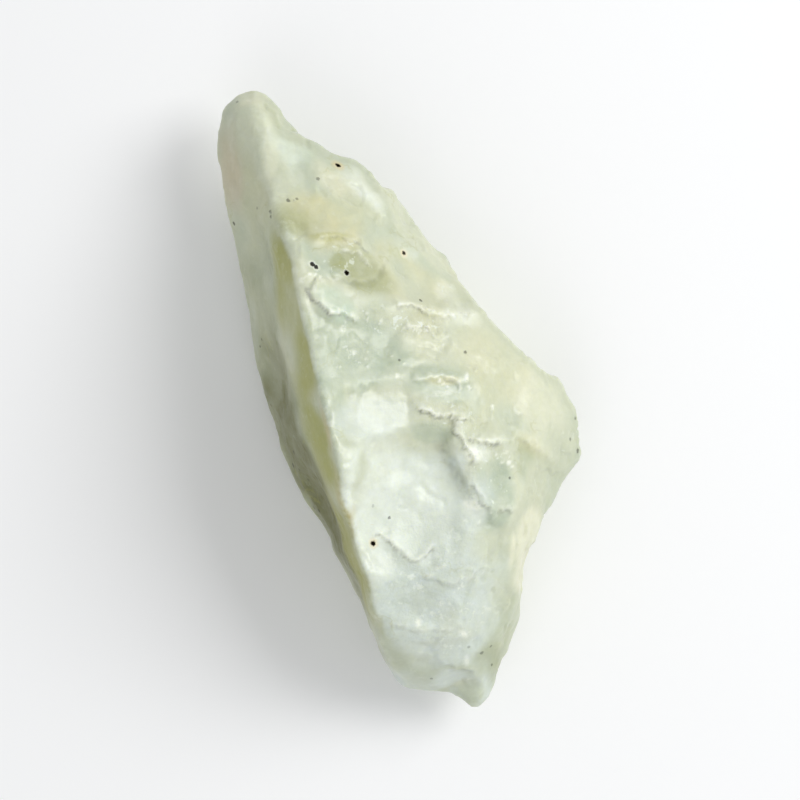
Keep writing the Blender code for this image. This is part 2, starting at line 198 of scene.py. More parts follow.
# The tinted zones of the upper side.
UPPER_ZONES: dict[Zone, list[Patch]] = {
    Zone.MILKY: [
        Patch((-2.4, -7.4, 14.5), (3.4, 5.8, 6.0), -14.0, 0.95),
        Patch((1.2, -8.4, 13.0), (4.2, 4.8, 5.0), 0.0, 0.80),
        Patch((1.0, -8.6, 13.0), (2.6, 2.2, 5.0), 0.0, 1.00),
        Patch((-1.6, -12.2, 13.0), (1.8, 2.4, 4.0), -12.0, 0.55),
        Patch((0.3, -10.3, 13.0), (2.4, 1.3, 4.0), -14.0, 0.75),
        Patch((5.9, -3.9, 12.0), (1.1, 0.9, 3.0), -40.0, 0.80),
        Patch((5.5, -8.2, 12.0), (1.4, 1.0, 3.0), -30.0, 0.75),
        Patch((-1.4, 15.7, 8.0), (5.0, 2.4, 5.0), -47.0, 1.00),
        Patch((1.3, 13.0, 8.0), (2.6, 1.4, 4.0), -40.0, 0.80),
        Patch((4.6, 7.2, 10.0), (2.6, 1.7, 4.0), -40.0, 0.60),
        Patch((-8.5, 19.5, 9.0), (1.6, 3.2, 4.0), 30.0, 0.45),
        Patch((0.6, 11.7, 9.0), (1.0, 1.6, 3.0), 30.0, 0.40),
    ],
    Zone.YELLOW: [
        Patch((-5.5, 13.3, 12.0), (4.4, 2.8, 5.0), -30.0, 0.85),
        Patch((-2.7, 15.1, 9.0), (4.0, 2.4, 5.0), -35.0, 0.45),
        Patch((0.6, 9.0, 10.0), (4.6, 2.6, 5.0), -35.0, 0.50),
        Patch((3.2, 1.5, 12.0), (2.0, 0.5, 3.0), 2.0, 0.80),
        Patch((7.7, 2.5, 10.0), (5.0, 4.0, 5.0), -40.0, 0.45),
        Patch((9.7, -3.4, 8.0), (2.4, 1.0, 3.0), -35.0, 0.35),
        Patch((2.5, -21.6, 5.0), (3.4, 0.6, 2.5), 3.0, 0.50),
    ],
    Zone.CREAM: [
        Patch((10.9, -1.4, 7.0), (2.8, 5.0, 6.0), 10.0, 0.55),
        Patch((9.2, -11.0, 8.0), (1.3, 3.6, 5.0), -9.0, 0.95, 0.3),
        Patch((4.6, 7.8, 10.0), (3.4, 2.2, 4.0), -40.0, 0.90),
        Patch((-1.4, 15.9, 8.0), (4.0, 2.0, 5.0), -40.0, 0.70),
        Patch((-4.6, 16.8, 9.0), (2.8, 2.0, 4.0), -30.0, 0.60),
        Patch((-9.8, 18.8, 9.0), (0.8, 3.6, 5.0), -6.0, 0.40),
        Patch((8.8, -14.8, 6.0), (0.9, 3.4, 4.0), -8.0, 0.60),
    ],
    Zone.GREY: [
        Patch((-2.7, 3.9, 14.0), (5.4, 4.6, 5.0), -10.0, 0.95),
        Patch((2.9, 1.3, 13.0), (3.8, 1.9, 4.0), -4.0, 0.85),
        Patch((-5.6, 10.2, 13.4), (1.7, 1.5, 3.0), 0.0, 0.80),
        Patch((2.3, -2.4, 13.0), (2.2, 1.1, 3.0), -10.0, 0.70),
        Patch((2.2, 12.8, 8.0), (1.5, 0.8, 4.0), -30.0, 0.45),
        Patch((7.2, -20.2, 5.0), (1.3, 2.2, 4.0), 0.0, 1.00),
        Patch((-6.3, 11.6, 13.0), (1.5, 2.8, 4.0), 8.0, 0.55),
        Patch((7.1, -7.0, 12.0), (2.2, 3.6, 4.0), 0.0, 1.00, 0.4),
        Patch((10.4, -5.3, 8.0), (3.0, 1.7, 5.0), -30.0, 1.00),
        Patch((1.3, -13.0, 13.0), (2.8, 0.9, 4.0), -4.0, 0.55),
        Patch((-5.2, 1.6, 15.0), (1.6, 4.2, 4.0), 10.0, 0.80),
    ],
    Zone.OLIVE: [
        Patch((-4.5, 10.3, 13.0), (1.1, 0.75, 2.5), 0.0, 0.40, 0.35),
        Patch((-2.9, 9.6, 12.0), (3.2, 2.0, 3.0), -15.0, 0.30),
        Patch((-8.3, 13.4, 12.0), (2.6, 1.9, 3.5), -12.0, 0.25, 0.8),
        Patch((-5.4, 12.2, 12.0), (2.0, 0.5, 2.5), 2.0, 0.40),
        Patch((8.1, -17.9, 5.0), (0.9, 3.0, 4.0), -14.0, 0.60),
        Patch((9.3, -3.7, 9.0), (2.6, 1.1, 3.0), -35.0, 0.25, 0.8),
    ],
    Zone.MOSS: [
        Patch((-4.5, 10.3, 13.0), (1.1, 0.75, 2.5), 0.0, 0.60, 0.35),
        Patch((-3.2, 9.4, 12.0), (3.6, 1.9, 3.0), -15.0, 0.60),
        Patch((-8.2, 13.2, 12.0), (2.6, 1.9, 3.5), -12.0, 0.60, 0.8),
        Patch((7.3, -20.2, 7.0), (1.5, 2.4, 6.0), 0.0, 0.70),
        Patch((10.4, -5.2, 8.0), (2.8, 1.5, 5.0), -30.0, 0.30),
    ],
    Zone.BRUISED: [
        Patch((1.4, -16.7, 12.0), (0.40, 0.55, 3.0), 0.0, 0.85, 0.8),
        Patch((4.8, -17.7, 11.0), (0.75, 0.40, 3.0), -35.0, 0.85, 0.8),
        Patch((5.1, -19.9, 9.0), (0.40, 0.85, 3.0), 4.0, 0.90, 0.8),
        Patch((3.1, -15.3, 12.0), (0.35, 0.30, 3.0), 0.0, 0.70, 0.8),
        Patch((6.7, -15.8, 11.0), (0.45, 0.28, 3.0), -20.0, 0.80, 0.8),
        Patch((3.0, -12.5, 12.0), (0.60, 0.30, 3.0), 10.0, 0.60, 0.8),
        Patch((-1.1, -12.6, 13.0), (1.2, 1.5, 4.0), 0.0, 0.25, 0.8),
        Patch((5.5, -4.0, 12.0), (0.9, 0.8, 3.0), -40.0, 0.80, 0.5),
        Patch((5.4, -7.9, 12.0), (0.9, 0.5, 3.0), -20.0, 0.70, 0.6),
        Patch((8.0, -3.9, 11.0), (0.26, 0.24, 3.0), 0.0, 0.90, 0.8),
        Patch((8.2, -4.7, 11.0), (0.30, 0.26, 3.0), 0.0, 0.90, 0.8),
        Patch((7.0, -0.5, 12.0), (0.22, 0.26, 3.0), 0.0, 0.80, 0.8),
        Patch((3.1, 0.5, 13.0), (1.4, 0.40, 3.0), 14.0, 0.45, 0.8),
        Patch((-4.2, 5.4, 14.0), (0.40, 0.40, 3.0), 0.0, 0.70, 0.8),
        Patch((-1.4, 6.0, 14.0), (0.22, 0.45, 3.0), 0.0, 0.70, 0.8),
        Patch((-3.6, 3.5, 14.0), (0.60, 0.40, 3.0), 15.0, 0.75, 0.8),
        Patch((-5.0, 1.8, 14.0), (0.35, 0.35, 3.0), 0.0, 0.60, 0.8),
        Patch((-0.2, 1.8, 14.0), (0.26, 0.30, 3.0), 0.0, 0.70, 0.8),
        Patch((-7.3, 8.8, 13.0), (0.40, 0.32, 3.0), 0.0, 0.90, 0.8),
        Patch((1.2, 5.4, 13.0), (0.70, 0.25, 3.0), 8.0, 0.70, 0.8),
        Patch((5.0, 1.7, 12.0), (0.26, 0.60, 3.0), 0.0, 0.80, 0.8),
    ],
    Zone.PEARL: [
        Patch((2.5, -15.8, 10.0), (6.8, 8.6, 12.0), 0.0, 0.85, 0.4),
        Patch((2.3, -8.2, 13.0), (5.6, 5.4, 6.0), 0.0, 0.75),
        Patch((-2.4, -1.4, 15.0), (4.4, 2.2, 4.0), 4.0, 0.60),
        # Painted light: this patch lightens the far wall of the scoop, which faces away from the light.
        Patch((4.0, -5.4, 12.0), (1.3, 2.2, 4.0), -25.0, 0.85),
    ],
    Zone.MINT: [
        Patch((-5.1, 7.3, 14.0), (2.3, 1.5, 3.0), -38.0, 0.60),
        Patch((-7.9, 19.0, 9.0), (1.8, 2.6, 4.0), 40.0, 0.30),
    ],
    Zone.SUGARY: [
        Patch((-1.9, 6.3, 14.0), (2.2, 1.4, 4.0), -20.0, 0.90),
        Patch((1.5, 5.8, 12.0), (3.0, 1.6, 4.0), -10.0, 1.00),
        Patch((-3.3, 3.5, 14.0), (2.0, 1.4, 4.0), 0.0, 0.80),
        Patch((4.5, 7.6, 10.0), (3.6, 1.6, 4.0), -8.0, 0.80),
        Patch((2.5, -14.4, 12.0), (5.4, 7.4, 6.0), 0.0, 0.80),
        Patch((6.4, -6.0, 12.0), (2.6, 3.6, 5.0), 0.0, 0.80),
        Patch((3.8, -1.4, 13.0), (3.4, 1.6, 4.0), -15.0, 0.90),
        Patch((0.6, -21.0, 6.0), (2.0, 1.0, 3.0), -30.0, 1.00),
        Patch((-4.0, 10.7, 13.0), (3.0, 1.8, 4.0), -15.0, 0.60),
    ],
}

# The zones of the steep sides. The moss and brown of the left flank darken it: partly its own olive-brown,
# partly painted shade of a flank turned from the light.
SIDE_ZONES: dict[Zone, list[Patch]] = {
    Zone.MOSS: [
        Patch((-10.5, 5.0, 7.0), (4.6, 10.0, 9.0), 0.0, 0.60, 0.6),
        Patch((-7.5, -6.0, 7.0), (4.6, 13.0, 9.0), 0.0, 0.85, 0.5),
        Patch((7.4, -20.2, 7.0), (1.8, 2.6, 6.0), 0.0, 0.70, 0.7),
    ],
    Zone.OLIVE: [
        Patch((-6.6, -1.5, 15.0), (16.0, 2.2, 4.4), -78.5, 0.90, 0.7),
        Patch((-3.7, -12.0, 12.0), (8.0, 1.6, 4.2), -74.0, 0.90, 0.7),
        Patch((-9.2, 9.5, 13.4), (8.0, 2.4, 4.6), -78.0, 0.90, 0.7),
        Patch((-11.3, 15.8, 9.6), (6.6, 2.6, 6.0), 90.0, 0.25, 0.7),
    ],
    # Brown along the lower left flank: partly its own colour, partly painted shade.
    Zone.BROWN: [
        Patch((-7.8, -4.0, 7.2), (10.5, 3.6, 7.6), -70.0, 0.85, 0.7),
        Patch((-5.0, -9.6, 8.4), (9.5, 3.2, 8.6), -70.0, 0.90, 0.7),
        Patch((-9.2, 1.5, 9.0), (7.0, 2.8, 6.5), -80.0, 0.60, 0.9),
    ],
    Zone.SUGARY: [
        Patch((11.5, -1.0, 3.0), (4.0, 6.0, 4.0), 0.0, 0.80, 0.7),
        Patch((4.0, 12.0, 3.5), (5.0, 5.0, 4.0), -40.0, 0.80, 0.7),
        Patch((7.5, -16.5, 3.0), (3.0, 5.0, 3.5), 0.0, 0.70, 0.7),
        Patch((-9.5, 17.0, 3.0), (4.0, 5.0, 2.5), 0.0, 0.70, 0.7),
        Patch((1.0, -4.0, 0.0), (8.0, 12.0, 2.5), 0.0, 0.60, 0.7),
    ],
    Zone.TAN: [
        Patch((-13.3, 17.4, 7.0), (2.1, 5.4, 5.0), 0.0, 0.95, 0.9),
    ],
    Zone.OCHRE: [
        Patch((-3.8, -8.3, 15.2), (5.0, 0.7, 1.8), -76.5, 0.85, 0.8),
        Patch((-5.4, -2.0, 16.6), (3.0, 0.7, 1.4), -78.0, 0.50, 0.8),
    ],
    Zone.CREAM: [
        Patch((9.5, -11.2, 7.6), (1.7, 3.8, 4.6), -9.0, 0.80, 0.35),
        Patch((-11.6, 22.2, 7.4), (2.4, 2.4, 3.4), 0.0, 0.60, 0.7),
        Patch((-11.2, 16.0, 8.0), (2.2, 6.5, 6.0), 0.0, 0.35, 0.8),
        Patch((1.8, 12.0, 7.0), (8.5, 2.2, 6.0), -53.0, 0.45, 0.7),
    ],
    Zone.PEARL: [
        Patch((6.2, -21.4, 5.0), (2.0, 2.8, 4.0), 0.0, 0.70, 0.6),
        Patch((1.8, -20.6, 5.4), (4.6, 1.8, 4.0), 0.0, 0.90, 0.6),
        Patch((3.6, -20.9, 6.0), (2.6, 1.2, 3.0), 0.0, 0.90, 0.6),
    ],
}

# The smooth pale facet beside the crest, where the grain is held back.
QUIET_FACET = Patch((-2.2, -1.4, 15.5), (3.2, 2.0, 4.0), 4.0)


@dataclass(frozen=True)
class Ledge:
    """A fine broken step on the upper side. The ground is higher on the left of its line.

    Attributes:
        line_mm: The line in plan, as (x, y) points.
        rise_mm: How high the step is.
        run_mm: How far behind the line the higher ground falls back.
        lip: How white the bruised lip is, from 0 to 1.
        foot: How dark the painted shadow at the foot of the step is, from 0 to 1.
        face_mm: How wide the steep face is in plan.
        lip_mm: How wide the lip is.
        fade_mm: How far the ledge goes on past the ends of its line.
    """

    line_mm: list[tuple[float, float]]
    rise_mm: float
    run_mm: float
    lip: float = 0.5
    foot: float = 0.5
    face_mm: float = 0.22
    lip_mm: float = 0.26
    fade_mm: float = 0.5

    def measure(self, plan_mm: np.ndarray) -> tuple[np.ndarray, np.ndarray]:
        """Measures how far points lie from the line.

        Args:
            plan_mm: The points in plan, one row each.

        Returns:
            The signed distances, positive on the left, and the distances past the line's ends.
        """
        best = np.full(len(plan_mm), np.inf)
        side, beyond = np.zeros(len(plan_mm)), np.zeros(len(plan_mm))
        last = len(self.line_mm) - 2
        for index, (start, end) in enumerate(zip(self.line_mm, self.line_mm[1:])):
            run = math.dist(start, end)
            along = (np.array(end) - np.array(start)) / run
            offset = plan_mm - np.array(start)
            forward = offset @ along
            across = along[0] * offset[:, 1] - along[1] * offset[:, 0]
            gap = np.hypot(across, forward - np.clip(forward, 0.0, run))
            closer = gap < best
            best[closer] = gap[closer]
            side[closer] = (np.sign(across) * gap)[closer]
            before = np.maximum(-forward, 0.0) if index == 0 else np.zeros(len(plan_mm))
            after = np.maximum(forward - run, 0.0) if index == last else np.zeros(len(plan_mm))
            beyond[closer] = (before + after)[closer]
        return side, beyond


LEDGES = [
    # The step across the middle and its ragged corner.
    Ledge([(1.6, -0.9), (2.7, -1.25), (3.7, -1.35), (4.7, -1.55)], 0.24, 1.6, 0.9, 0.9, 0.22, 0.26, 1.3),
    Ledge([(4.1, -1.8), (4.1, -2.5), (4.8, -3.4), (5.4, -4.7)], 0.22, 1.0, 0.8, 0.8),
    Ledge([(5.7, -2.8), (6.6, -3.1), (7.6, -3.4)], 0.24, 1.2, 0.8, 0.9),
    Ledge([(8.6, -2.9), (9.9, -3.3), (11.0, -4.2)], 0.12, 1.6, 0.2, 0.3),
    # The far wall of the scoop and the border of the small plateau.
    Ledge([(3.4, -3.4), (4.3, -5.0), (4.9, -6.4)], 0.14, 1.0, 0.1, 0.3, 0.6),
    Ledge([(5.6, -6.5), (6.4, -7.7), (7.6, -8.3), (8.8, -8.1)], 0.16, 1.4, 0.5, 0.5),
    Ledge([(8.9, -13.0), (8.4, -10.6), (8.7, -8.6), (9.1, -7.6)], 0.14, 1.0, 0.0, 0.2),
    # The thin crack below the scoop.
    Ledge(
        [(-1.8, -10.3), (-1.0, -10.6), (0.0, -11.1), (1.2, -11.9), (2.4, -11.3)], 0.14, 1.2, 0.5, 0.6, 0.18,
    ),
    # The rows of broken crumbs on the upper face.
    Ledge([(-0.3, 7.0), (1.0, 7.1), (2.3, 6.4), (3.6, 6.2), (5.2, 6.6)], 0.20, 1.0, 0.8, 0.5),
    Ledge([(0.6, 5.5), (1.9, 5.6), (2.3, 4.9)], 0.16, 0.9, 0.7, 0.4),
    Ledge([(1.2, 1.5), (3.2, 1.7), (4.7, 1.4)], 0.14, 0.8, 0.6, 0.4),
    # The clinging flake, steep on its side towards the crest.
    Ledge([(-6.4, 8.9), (-6.7, 8.3), (-6.0, 7.2), (-5.0, 6.5), (-3.6, 5.9)], 0.26, 1.7, 1.0, 1.0, 0.2, 0.42),
    # The arcs above the flake.
    Ledge([(-5.0, 11.0), (-4.2, 11.25), (-3.2, 11.0), (-2.6, 10.3)], 0.10, 0.7, 0.7, 0.3, 0.18, 0.16),
    Ledge([(-5.8, 12.0), (-4.4, 12.3), (-3.0, 11.9), (-2.2, 11.0)], 0.10, 0.9, 0.3, 0.5, 0.18, 0.2),
    Ledge([(-4.9, 9.2), (-3.0, 8.7), (-1.6, 9.4), (-1.0, 10.6)], 0.12, 1.2, 0.1, 0.3, 0.4),
    # The small facet on the upper right edge, and the thin line beside it.
    Ledge([(0.8, 13.8), (1.2, 12.6), (2.4, 12.0), (3.2, 11.9)], 0.12, 0.9, 0.4, 0.55, 0.2, 0.2),
    Ledge([(3.0, 12.0), (4.0, 10.1), (5.3, 8.6)], 0.08, 0.7, 0.2, 0.45, 0.2, 0.2),
    # Faint steps on the lower face.
    Ledge([(-0.6, -16.8), (1.6, -17.6), (4.4, -17.2)], 0.12, 1.2, 0.3, 0.2),
    Ledge([(2.2, -13.2), (3.8, -13.8), (5.6, -13.2)], 0.10, 1.0, 0.3, 0.2),
]


@dataclass(frozen=True)
class CrumbRow:
    """Small bruised crumbs that stand on the upper side along a line.

    Attributes:
        line_mm: The line in plan, from one (x, y) to another.
        count: How many crumbs there are.
        spread_mm: How far they stray from the line.
        size_mm: The smallest and the largest half length.
        rise_mm: How high they stand.
        white: How white they are, from 0 to 1.
    """

    line_mm: tuple[tuple[float, float], tuple[float, float]]
    count: int
    spread_mm: float
    size_mm: tuple[float, float] = (0.14, 0.42)
    rise_mm: float = 0.16
    white: float = 0.8


CRUMB_ROWS = [
    CrumbRow(((0.5, 7.2), (5.2, 6.4)), 22, 0.45),
    CrumbRow(((0.4, 5.6), (2.4, 5.0)), 10, 0.40),
    CrumbRow(((-4.6, 6.0), (-1.2, 5.6)), 10, 0.90, (0.10, 0.28), 0.12, 0.6),
    CrumbRow(((-5.0, 3.4), (0.0, 2.4)), 14, 1.20, (0.10, 0.34), 0.12, 0.6),
    CrumbRow(((3.0, 1.3), (5.0, 0.8)), 8, 0.40, (0.12, 0.30), 0.12, 0.8),
    CrumbRow(((2.4, -1.1), (4.9, -1.5)), 9, 0.22, (0.10, 0.30), 0.14, 1.0),
    CrumbRow(((4.2, -1.9), (5.2, -4.0)), 8, 0.25, (0.10, 0.28), 0.14, 0.9),
    CrumbRow(((5.8, -2.9), (8.4, -5.0)), 14, 0.45, (0.10, 0.28), 0.14, 0.9),
    CrumbRow(((-7.4, 9.0), (-5.6, 9.2)), 6, 0.35, (0.10, 0.26), 0.12, 0.9),
    CrumbRow(((0.2, -20.6), (1.4, -21.6)), 9, 0.45, (0.12, 0.34), 0.14, 0.7),
    CrumbRow(((1.8, -13.0), (6.4, -16.0)), 16, 1.80, (0.10, 0.30), 0.10, 0.5),
    CrumbRow(((4.6, -19.4), (5.2, -21.6)), 6, 0.40, (0.14, 0.36), 0.12, 0.7),
    CrumbRow(((-6.0, 1.0), (-4.8, -3.0)), 8, 0.50, (0.10, 0.26), 0.08, 0.5),
    CrumbRow(((7.0, -8.6), (3.2, -10.2)), 10, 1.20, (0.10, 0.26), 0.10, 0.5),
]
CRUMB_SEED = 31
# How widely the crumbs scatter and turn, and the smallest and largest share of their width and height.
CRUMB_SCATTER, CRUMB_TURN = 0.5, 0.5
CRUMB_WIDTHS, CRUMB_HEIGHTS = (0.35, 0.75), (0.5, 1.0)
# How steeply a crumb whitens towards its top.
CRUMB_WHITENING = 1.6
# How whole a ledge's lip is, and how far the fine and the slow bends break it up.
WHOLE_LIP, FINE_BREAKS, SLOW_BREAKS = 0.55, 1.3, 0.8
# The width of a ledge's painted foot shadow, as a share of its face.
FOOT_WIDTH = 0.6


@dataclass(frozen=True)
class Speck:
    """A dark grain in the skin that shows from above.

    Attributes:
        at_mm: Its place in plan, as (x, y). The skin gives its height.
        radius_mm: How far its dark core reaches.
        dark: How dark the core is, from 0 to 1.
        halo_mm: How far the rusty stain round it reaches, or 0 for none.
        pale_mm: How far the pale ring round it reaches, or 0 for none.
    """

    at_mm: tuple[float, float]
    radius_mm: float
    dark: float = 1.0
    halo_mm: float = 0.0
    pale_mm: float = 0.0


SPECKS = [
    Speck((-4.7, 17.8), 0.20, 1.0, 0.75),
    Speck((-6.55, 10.15), 0.16, 0.95, 0.0, 0.42),
    Speck((-6.25, 9.90), 0.17, 0.95, 0.0, 0.42),
    Speck((-4.0, 9.5), 0.20, 1.0, 0.0, 0.36),
    Speck((0.3, 11.1), 0.15, 0.95, 0.45, 0.50),
    Speck((1.55, 7.5), 0.13, 0.7),
    Speck((4.9, 3.6), 0.13, 0.6),
    Speck((-2.0, -10.7), 0.19, 1.0, 0.55),
    Speck((-0.8, -8.8), 0.12, 0.6),
    Speck((-12.7, 13.5), 0.15, 0.7),
    Speck((-6.2, 16.7), 0.14, 0.5),
    Speck((-8.4, 15.0), 0.15, 0.6),
    Speck((-7.75, 15.1), 0.11, 0.5),
    Speck((-9.75, 14.15), 0.14, 0.5),
    Speck((-9.7, 13.75), 0.12, 0.5),
    Speck((-10.8, 14.5), 0.11, 0.4),
    Speck((-12.4, 22.7), 0.13, 0.4),
    Speck((13.4, -1.4), 0.12, 0.5),
    Speck((13.0, -3.0), 0.12, 0.5),
    Speck((7.0, -20.2), 0.12, 0.5),
    Speck((5.2, -18.7), 0.12, 0.35),
    Speck((6.2, -19.2), 0.14, 0.45),
    Speck((6.9, -18.7), 0.12, 0.45),
    Speck((2.4, -21.2), 0.11, 0.40),
    Speck((-2.0, -7.9), 0.12, 0.25),
    Speck((13.6, -3.9), 0.16, 0.6),
    Speck((-8.1, -4.0), 0.16, 0.7),
    Speck((-8.2, -5.0), 0.15, 0.8),
    Speck((-7.7, -5.3), 0.12, 0.6),
    Speck((-6.6, -8.3), 0.13, 0.7),
    Speck((-6.2, -8.5), 0.15, 0.8),
    Speck((-7.0, -6.1), 0.10, 0.5),
    Speck((-10.7, 4.1), 0.12, 0.6),
    Speck((-9.9, -0.4), 0.10, 0.5),
]


class NodeWriter:
    """Writes shader or geometry nodes and their links, so that a tree reads as a list of steps."""

    def __init__(self, tree: bpy.types.NodeTree) -> None:
        """Starts on a tree.

        Args:
            tree: The node tree to write in.
        """
        self.tree = tree

    def add(self, kind: str, inputs: dict | None = None, **settings: object) -> bpy.types.Node:
        """Adds a node, sets its properties and fills its inputs.

        Args:
            kind: The node's type name.
            inputs: What goes into each input, by name or number: a socket to link, or a plain value.
            **settings: The node's own properties.

        Returns:
            The new node.
        """
        node = self.tree.nodes.new(kind)
        for name, value in settings.items():
            setattr(node, name, value)
        for key, value in (inputs or {}).items():
            if isinstance(value, Socket):
                self.tree.links.new(value, node.inputs[key])
            else:
                node.inputs[key].default_value = value
        return node

    def math(self, operation: str, *values: object, clamp: bool = False) -> Socket:
        """Adds a Math node.

        Args:
            operation: The sum to do, as Blender names it.
            *values: The numbers or sockets that go in.
            clamp: Whether the result is kept between 0 and 1.

        Returns:
            The result's socket.
        """
        node = self.add("ShaderNodeMath", dict(enumerate(values)), operation=operation, use_clamp=clamp)
        return node.outputs[0]

    def vector(self, operation: str, *values: object, scale: object = None) -> bpy.types.Node:
        """Adds a Vector Math node.

        Args:
            operation: The sum to do, as Blender names it.
            *values: The vectors or sockets that go in.
            scale: The number or socket of a Scale.

        Returns:
            The node.
        """
        inputs = dict(enumerate(values))
        if scale is not None:
            inputs["Scale"] = scale
        return self.add("ShaderNodeVectorMath", inputs, operation=operation)

    def ramp(self, value: object, low: object, high: object) -> Socket:
        """Turns a range of values into 0 to 1, with soft ends.

        Args:
            value: The number or socket that goes in.
            low: What becomes 0, as a number or a socket.
            high: What becomes 1, as a number or a socket.

        Returns:
            The result's socket.
        """
        inputs = {"Value": value, "From Min": low, "From Max": high}
        return self.add("ShaderNodeMapRange", inputs, interpolation_type="SMOOTHSTEP").outputs[0]

    def noise(
        self, place: object, length_mm: float, detail: float, rough: float = 0.55
    ) -> Socket:
        """Adds a Noise Texture.

        Args:
            place: The socket of the coordinates, in millimetres.
            length_mm: The size of its largest lumps.
            detail: How many finer layers it has.
            rough: How strong the finer layers are.

        Returns:
            The socket of its value, from 0 to 1.
        """
        inputs = {"Vector": place, "Scale": 1.0 / length_mm, "Detail": detail, "Roughness": rough}
        return self.add("ShaderNodeTexNoise", inputs).outputs[0]

    def mix(self, factor: object, first: object, second: object, blend: str = "MIX") -> Socket:
        """Mixes two colours.

        Args:
            factor: The share of the second, as a number or a socket.
            first: The first colour or its socket.
            second: The second colour or its socket.
            blend: The way of mixing, as Blender names it.

        Returns:
            The mixed colour's socket.
        """
        inputs = {0: factor, 6: first, 7: second}
        node = self.add("ShaderNodeMix", inputs, data_type="RGBA", blend_type=blend)
        return node.outputs[2]

    def attribute(self, name: str) -> Socket:
        """Reads one of the stone's point attributes.

        Args:
            name: The attribute's name.

        Returns:
            The socket of its number.
        """
        return self.add("ShaderNodeAttribute", attribute_name=name).outputs["Fac"]


@dataclass(frozen=True)
class Cloud:
    """One layer of noise, and the span of it that counts.

    Attributes:
        length_mm: The size of its largest lumps.
        detail: How many finer layers it has.
        rough: How strong the finer layers are.
        span: The noise that becomes 0, and the noise that becomes 1.
        shift_mm: How far it is moved, so that two layers don't follow each other.
    """

    length_mm: float
    detail: float
    rough: float
    span: tuple[float, float]
    shift_mm: tuple[float, float, float] = (0.0, 0.0, 0.0)

    def cover(self, write: NodeWriter, place: object) -> Socket:
        """Adds the layer's nodes.

        Args:
            write: The tree's node writer.
            place: The socket of the coordinates, in millimetres.

        Returns:
            The socket of the cover, from 0 to 1.
        """
        if any(self.shift_mm):
            place = write.vector("ADD", place, self.shift_mm).outputs[0]
        return write.ramp(write.noise(place, self.length_mm, self.detail, self.rough), *self.span)


# The layers of noise in the look and in the relief.
GREY_CLOUDS = Cloud(9.0, 4.0, 0.55, (0.40, 0.66))
WARM_CLOUDS = Cloud(6.0, 4.0, 0.55, (0.52, 0.75), (31.0, 7.0, 13.0))
ZONE_CLOUDS = Cloud(1.6, 4.0, 0.6, (0.30, 0.72))
WORN_EDGES = Cloud(0.9, 3.0, 0.6, (0.35, 0.65))
WHITE_CRUMBS = Cloud(0.75, 2.0, 0.7, (0.60, 0.70))
# How often the outline of a dark grain bends, for each millimetre.
RAGS_IN_A_MM = 5.0
BRUISE_SPOTS = Cloud(0.5, 3.0, 0.6, (0.30, 0.55))
# The length in mm, the detail and the roughness of the finest grain.
FINEST_GRAIN = (0.32, 5.0, 0.62)
GRAIN_SHADES = Cloud(0.45, 3.0, 0.65, (0.25, 0.75))
# Where the veins' noise is read, the size of its lumps and its detail.
VEIN_SHIFT_MM, VEIN_LENGTH_MM, VEIN_DETAIL = (3.0, 40.0, 9.0), 7.0, 5.0
VEIN_PATCHES = Cloud(5.0, 2.0, 0.55, (0.50, 0.70))
MATT_CLOUDS = Cloud(1.2, 3.0, 0.55, (0.50, 0.75))
HACKLE_PATCHES = Cloud(3.4, 2.0, 0.55, (0.42, 0.62))
STEP_PATCHES = Cloud(3.0, 2.0, 0.55, (0.46, 0.60))
# What each layer of the relief adds to the seed, so that no two layers are alike.
SEED_SHIFTS = {"hackle": 11.0, "crumbs": 23.0, "steps": 37.0}


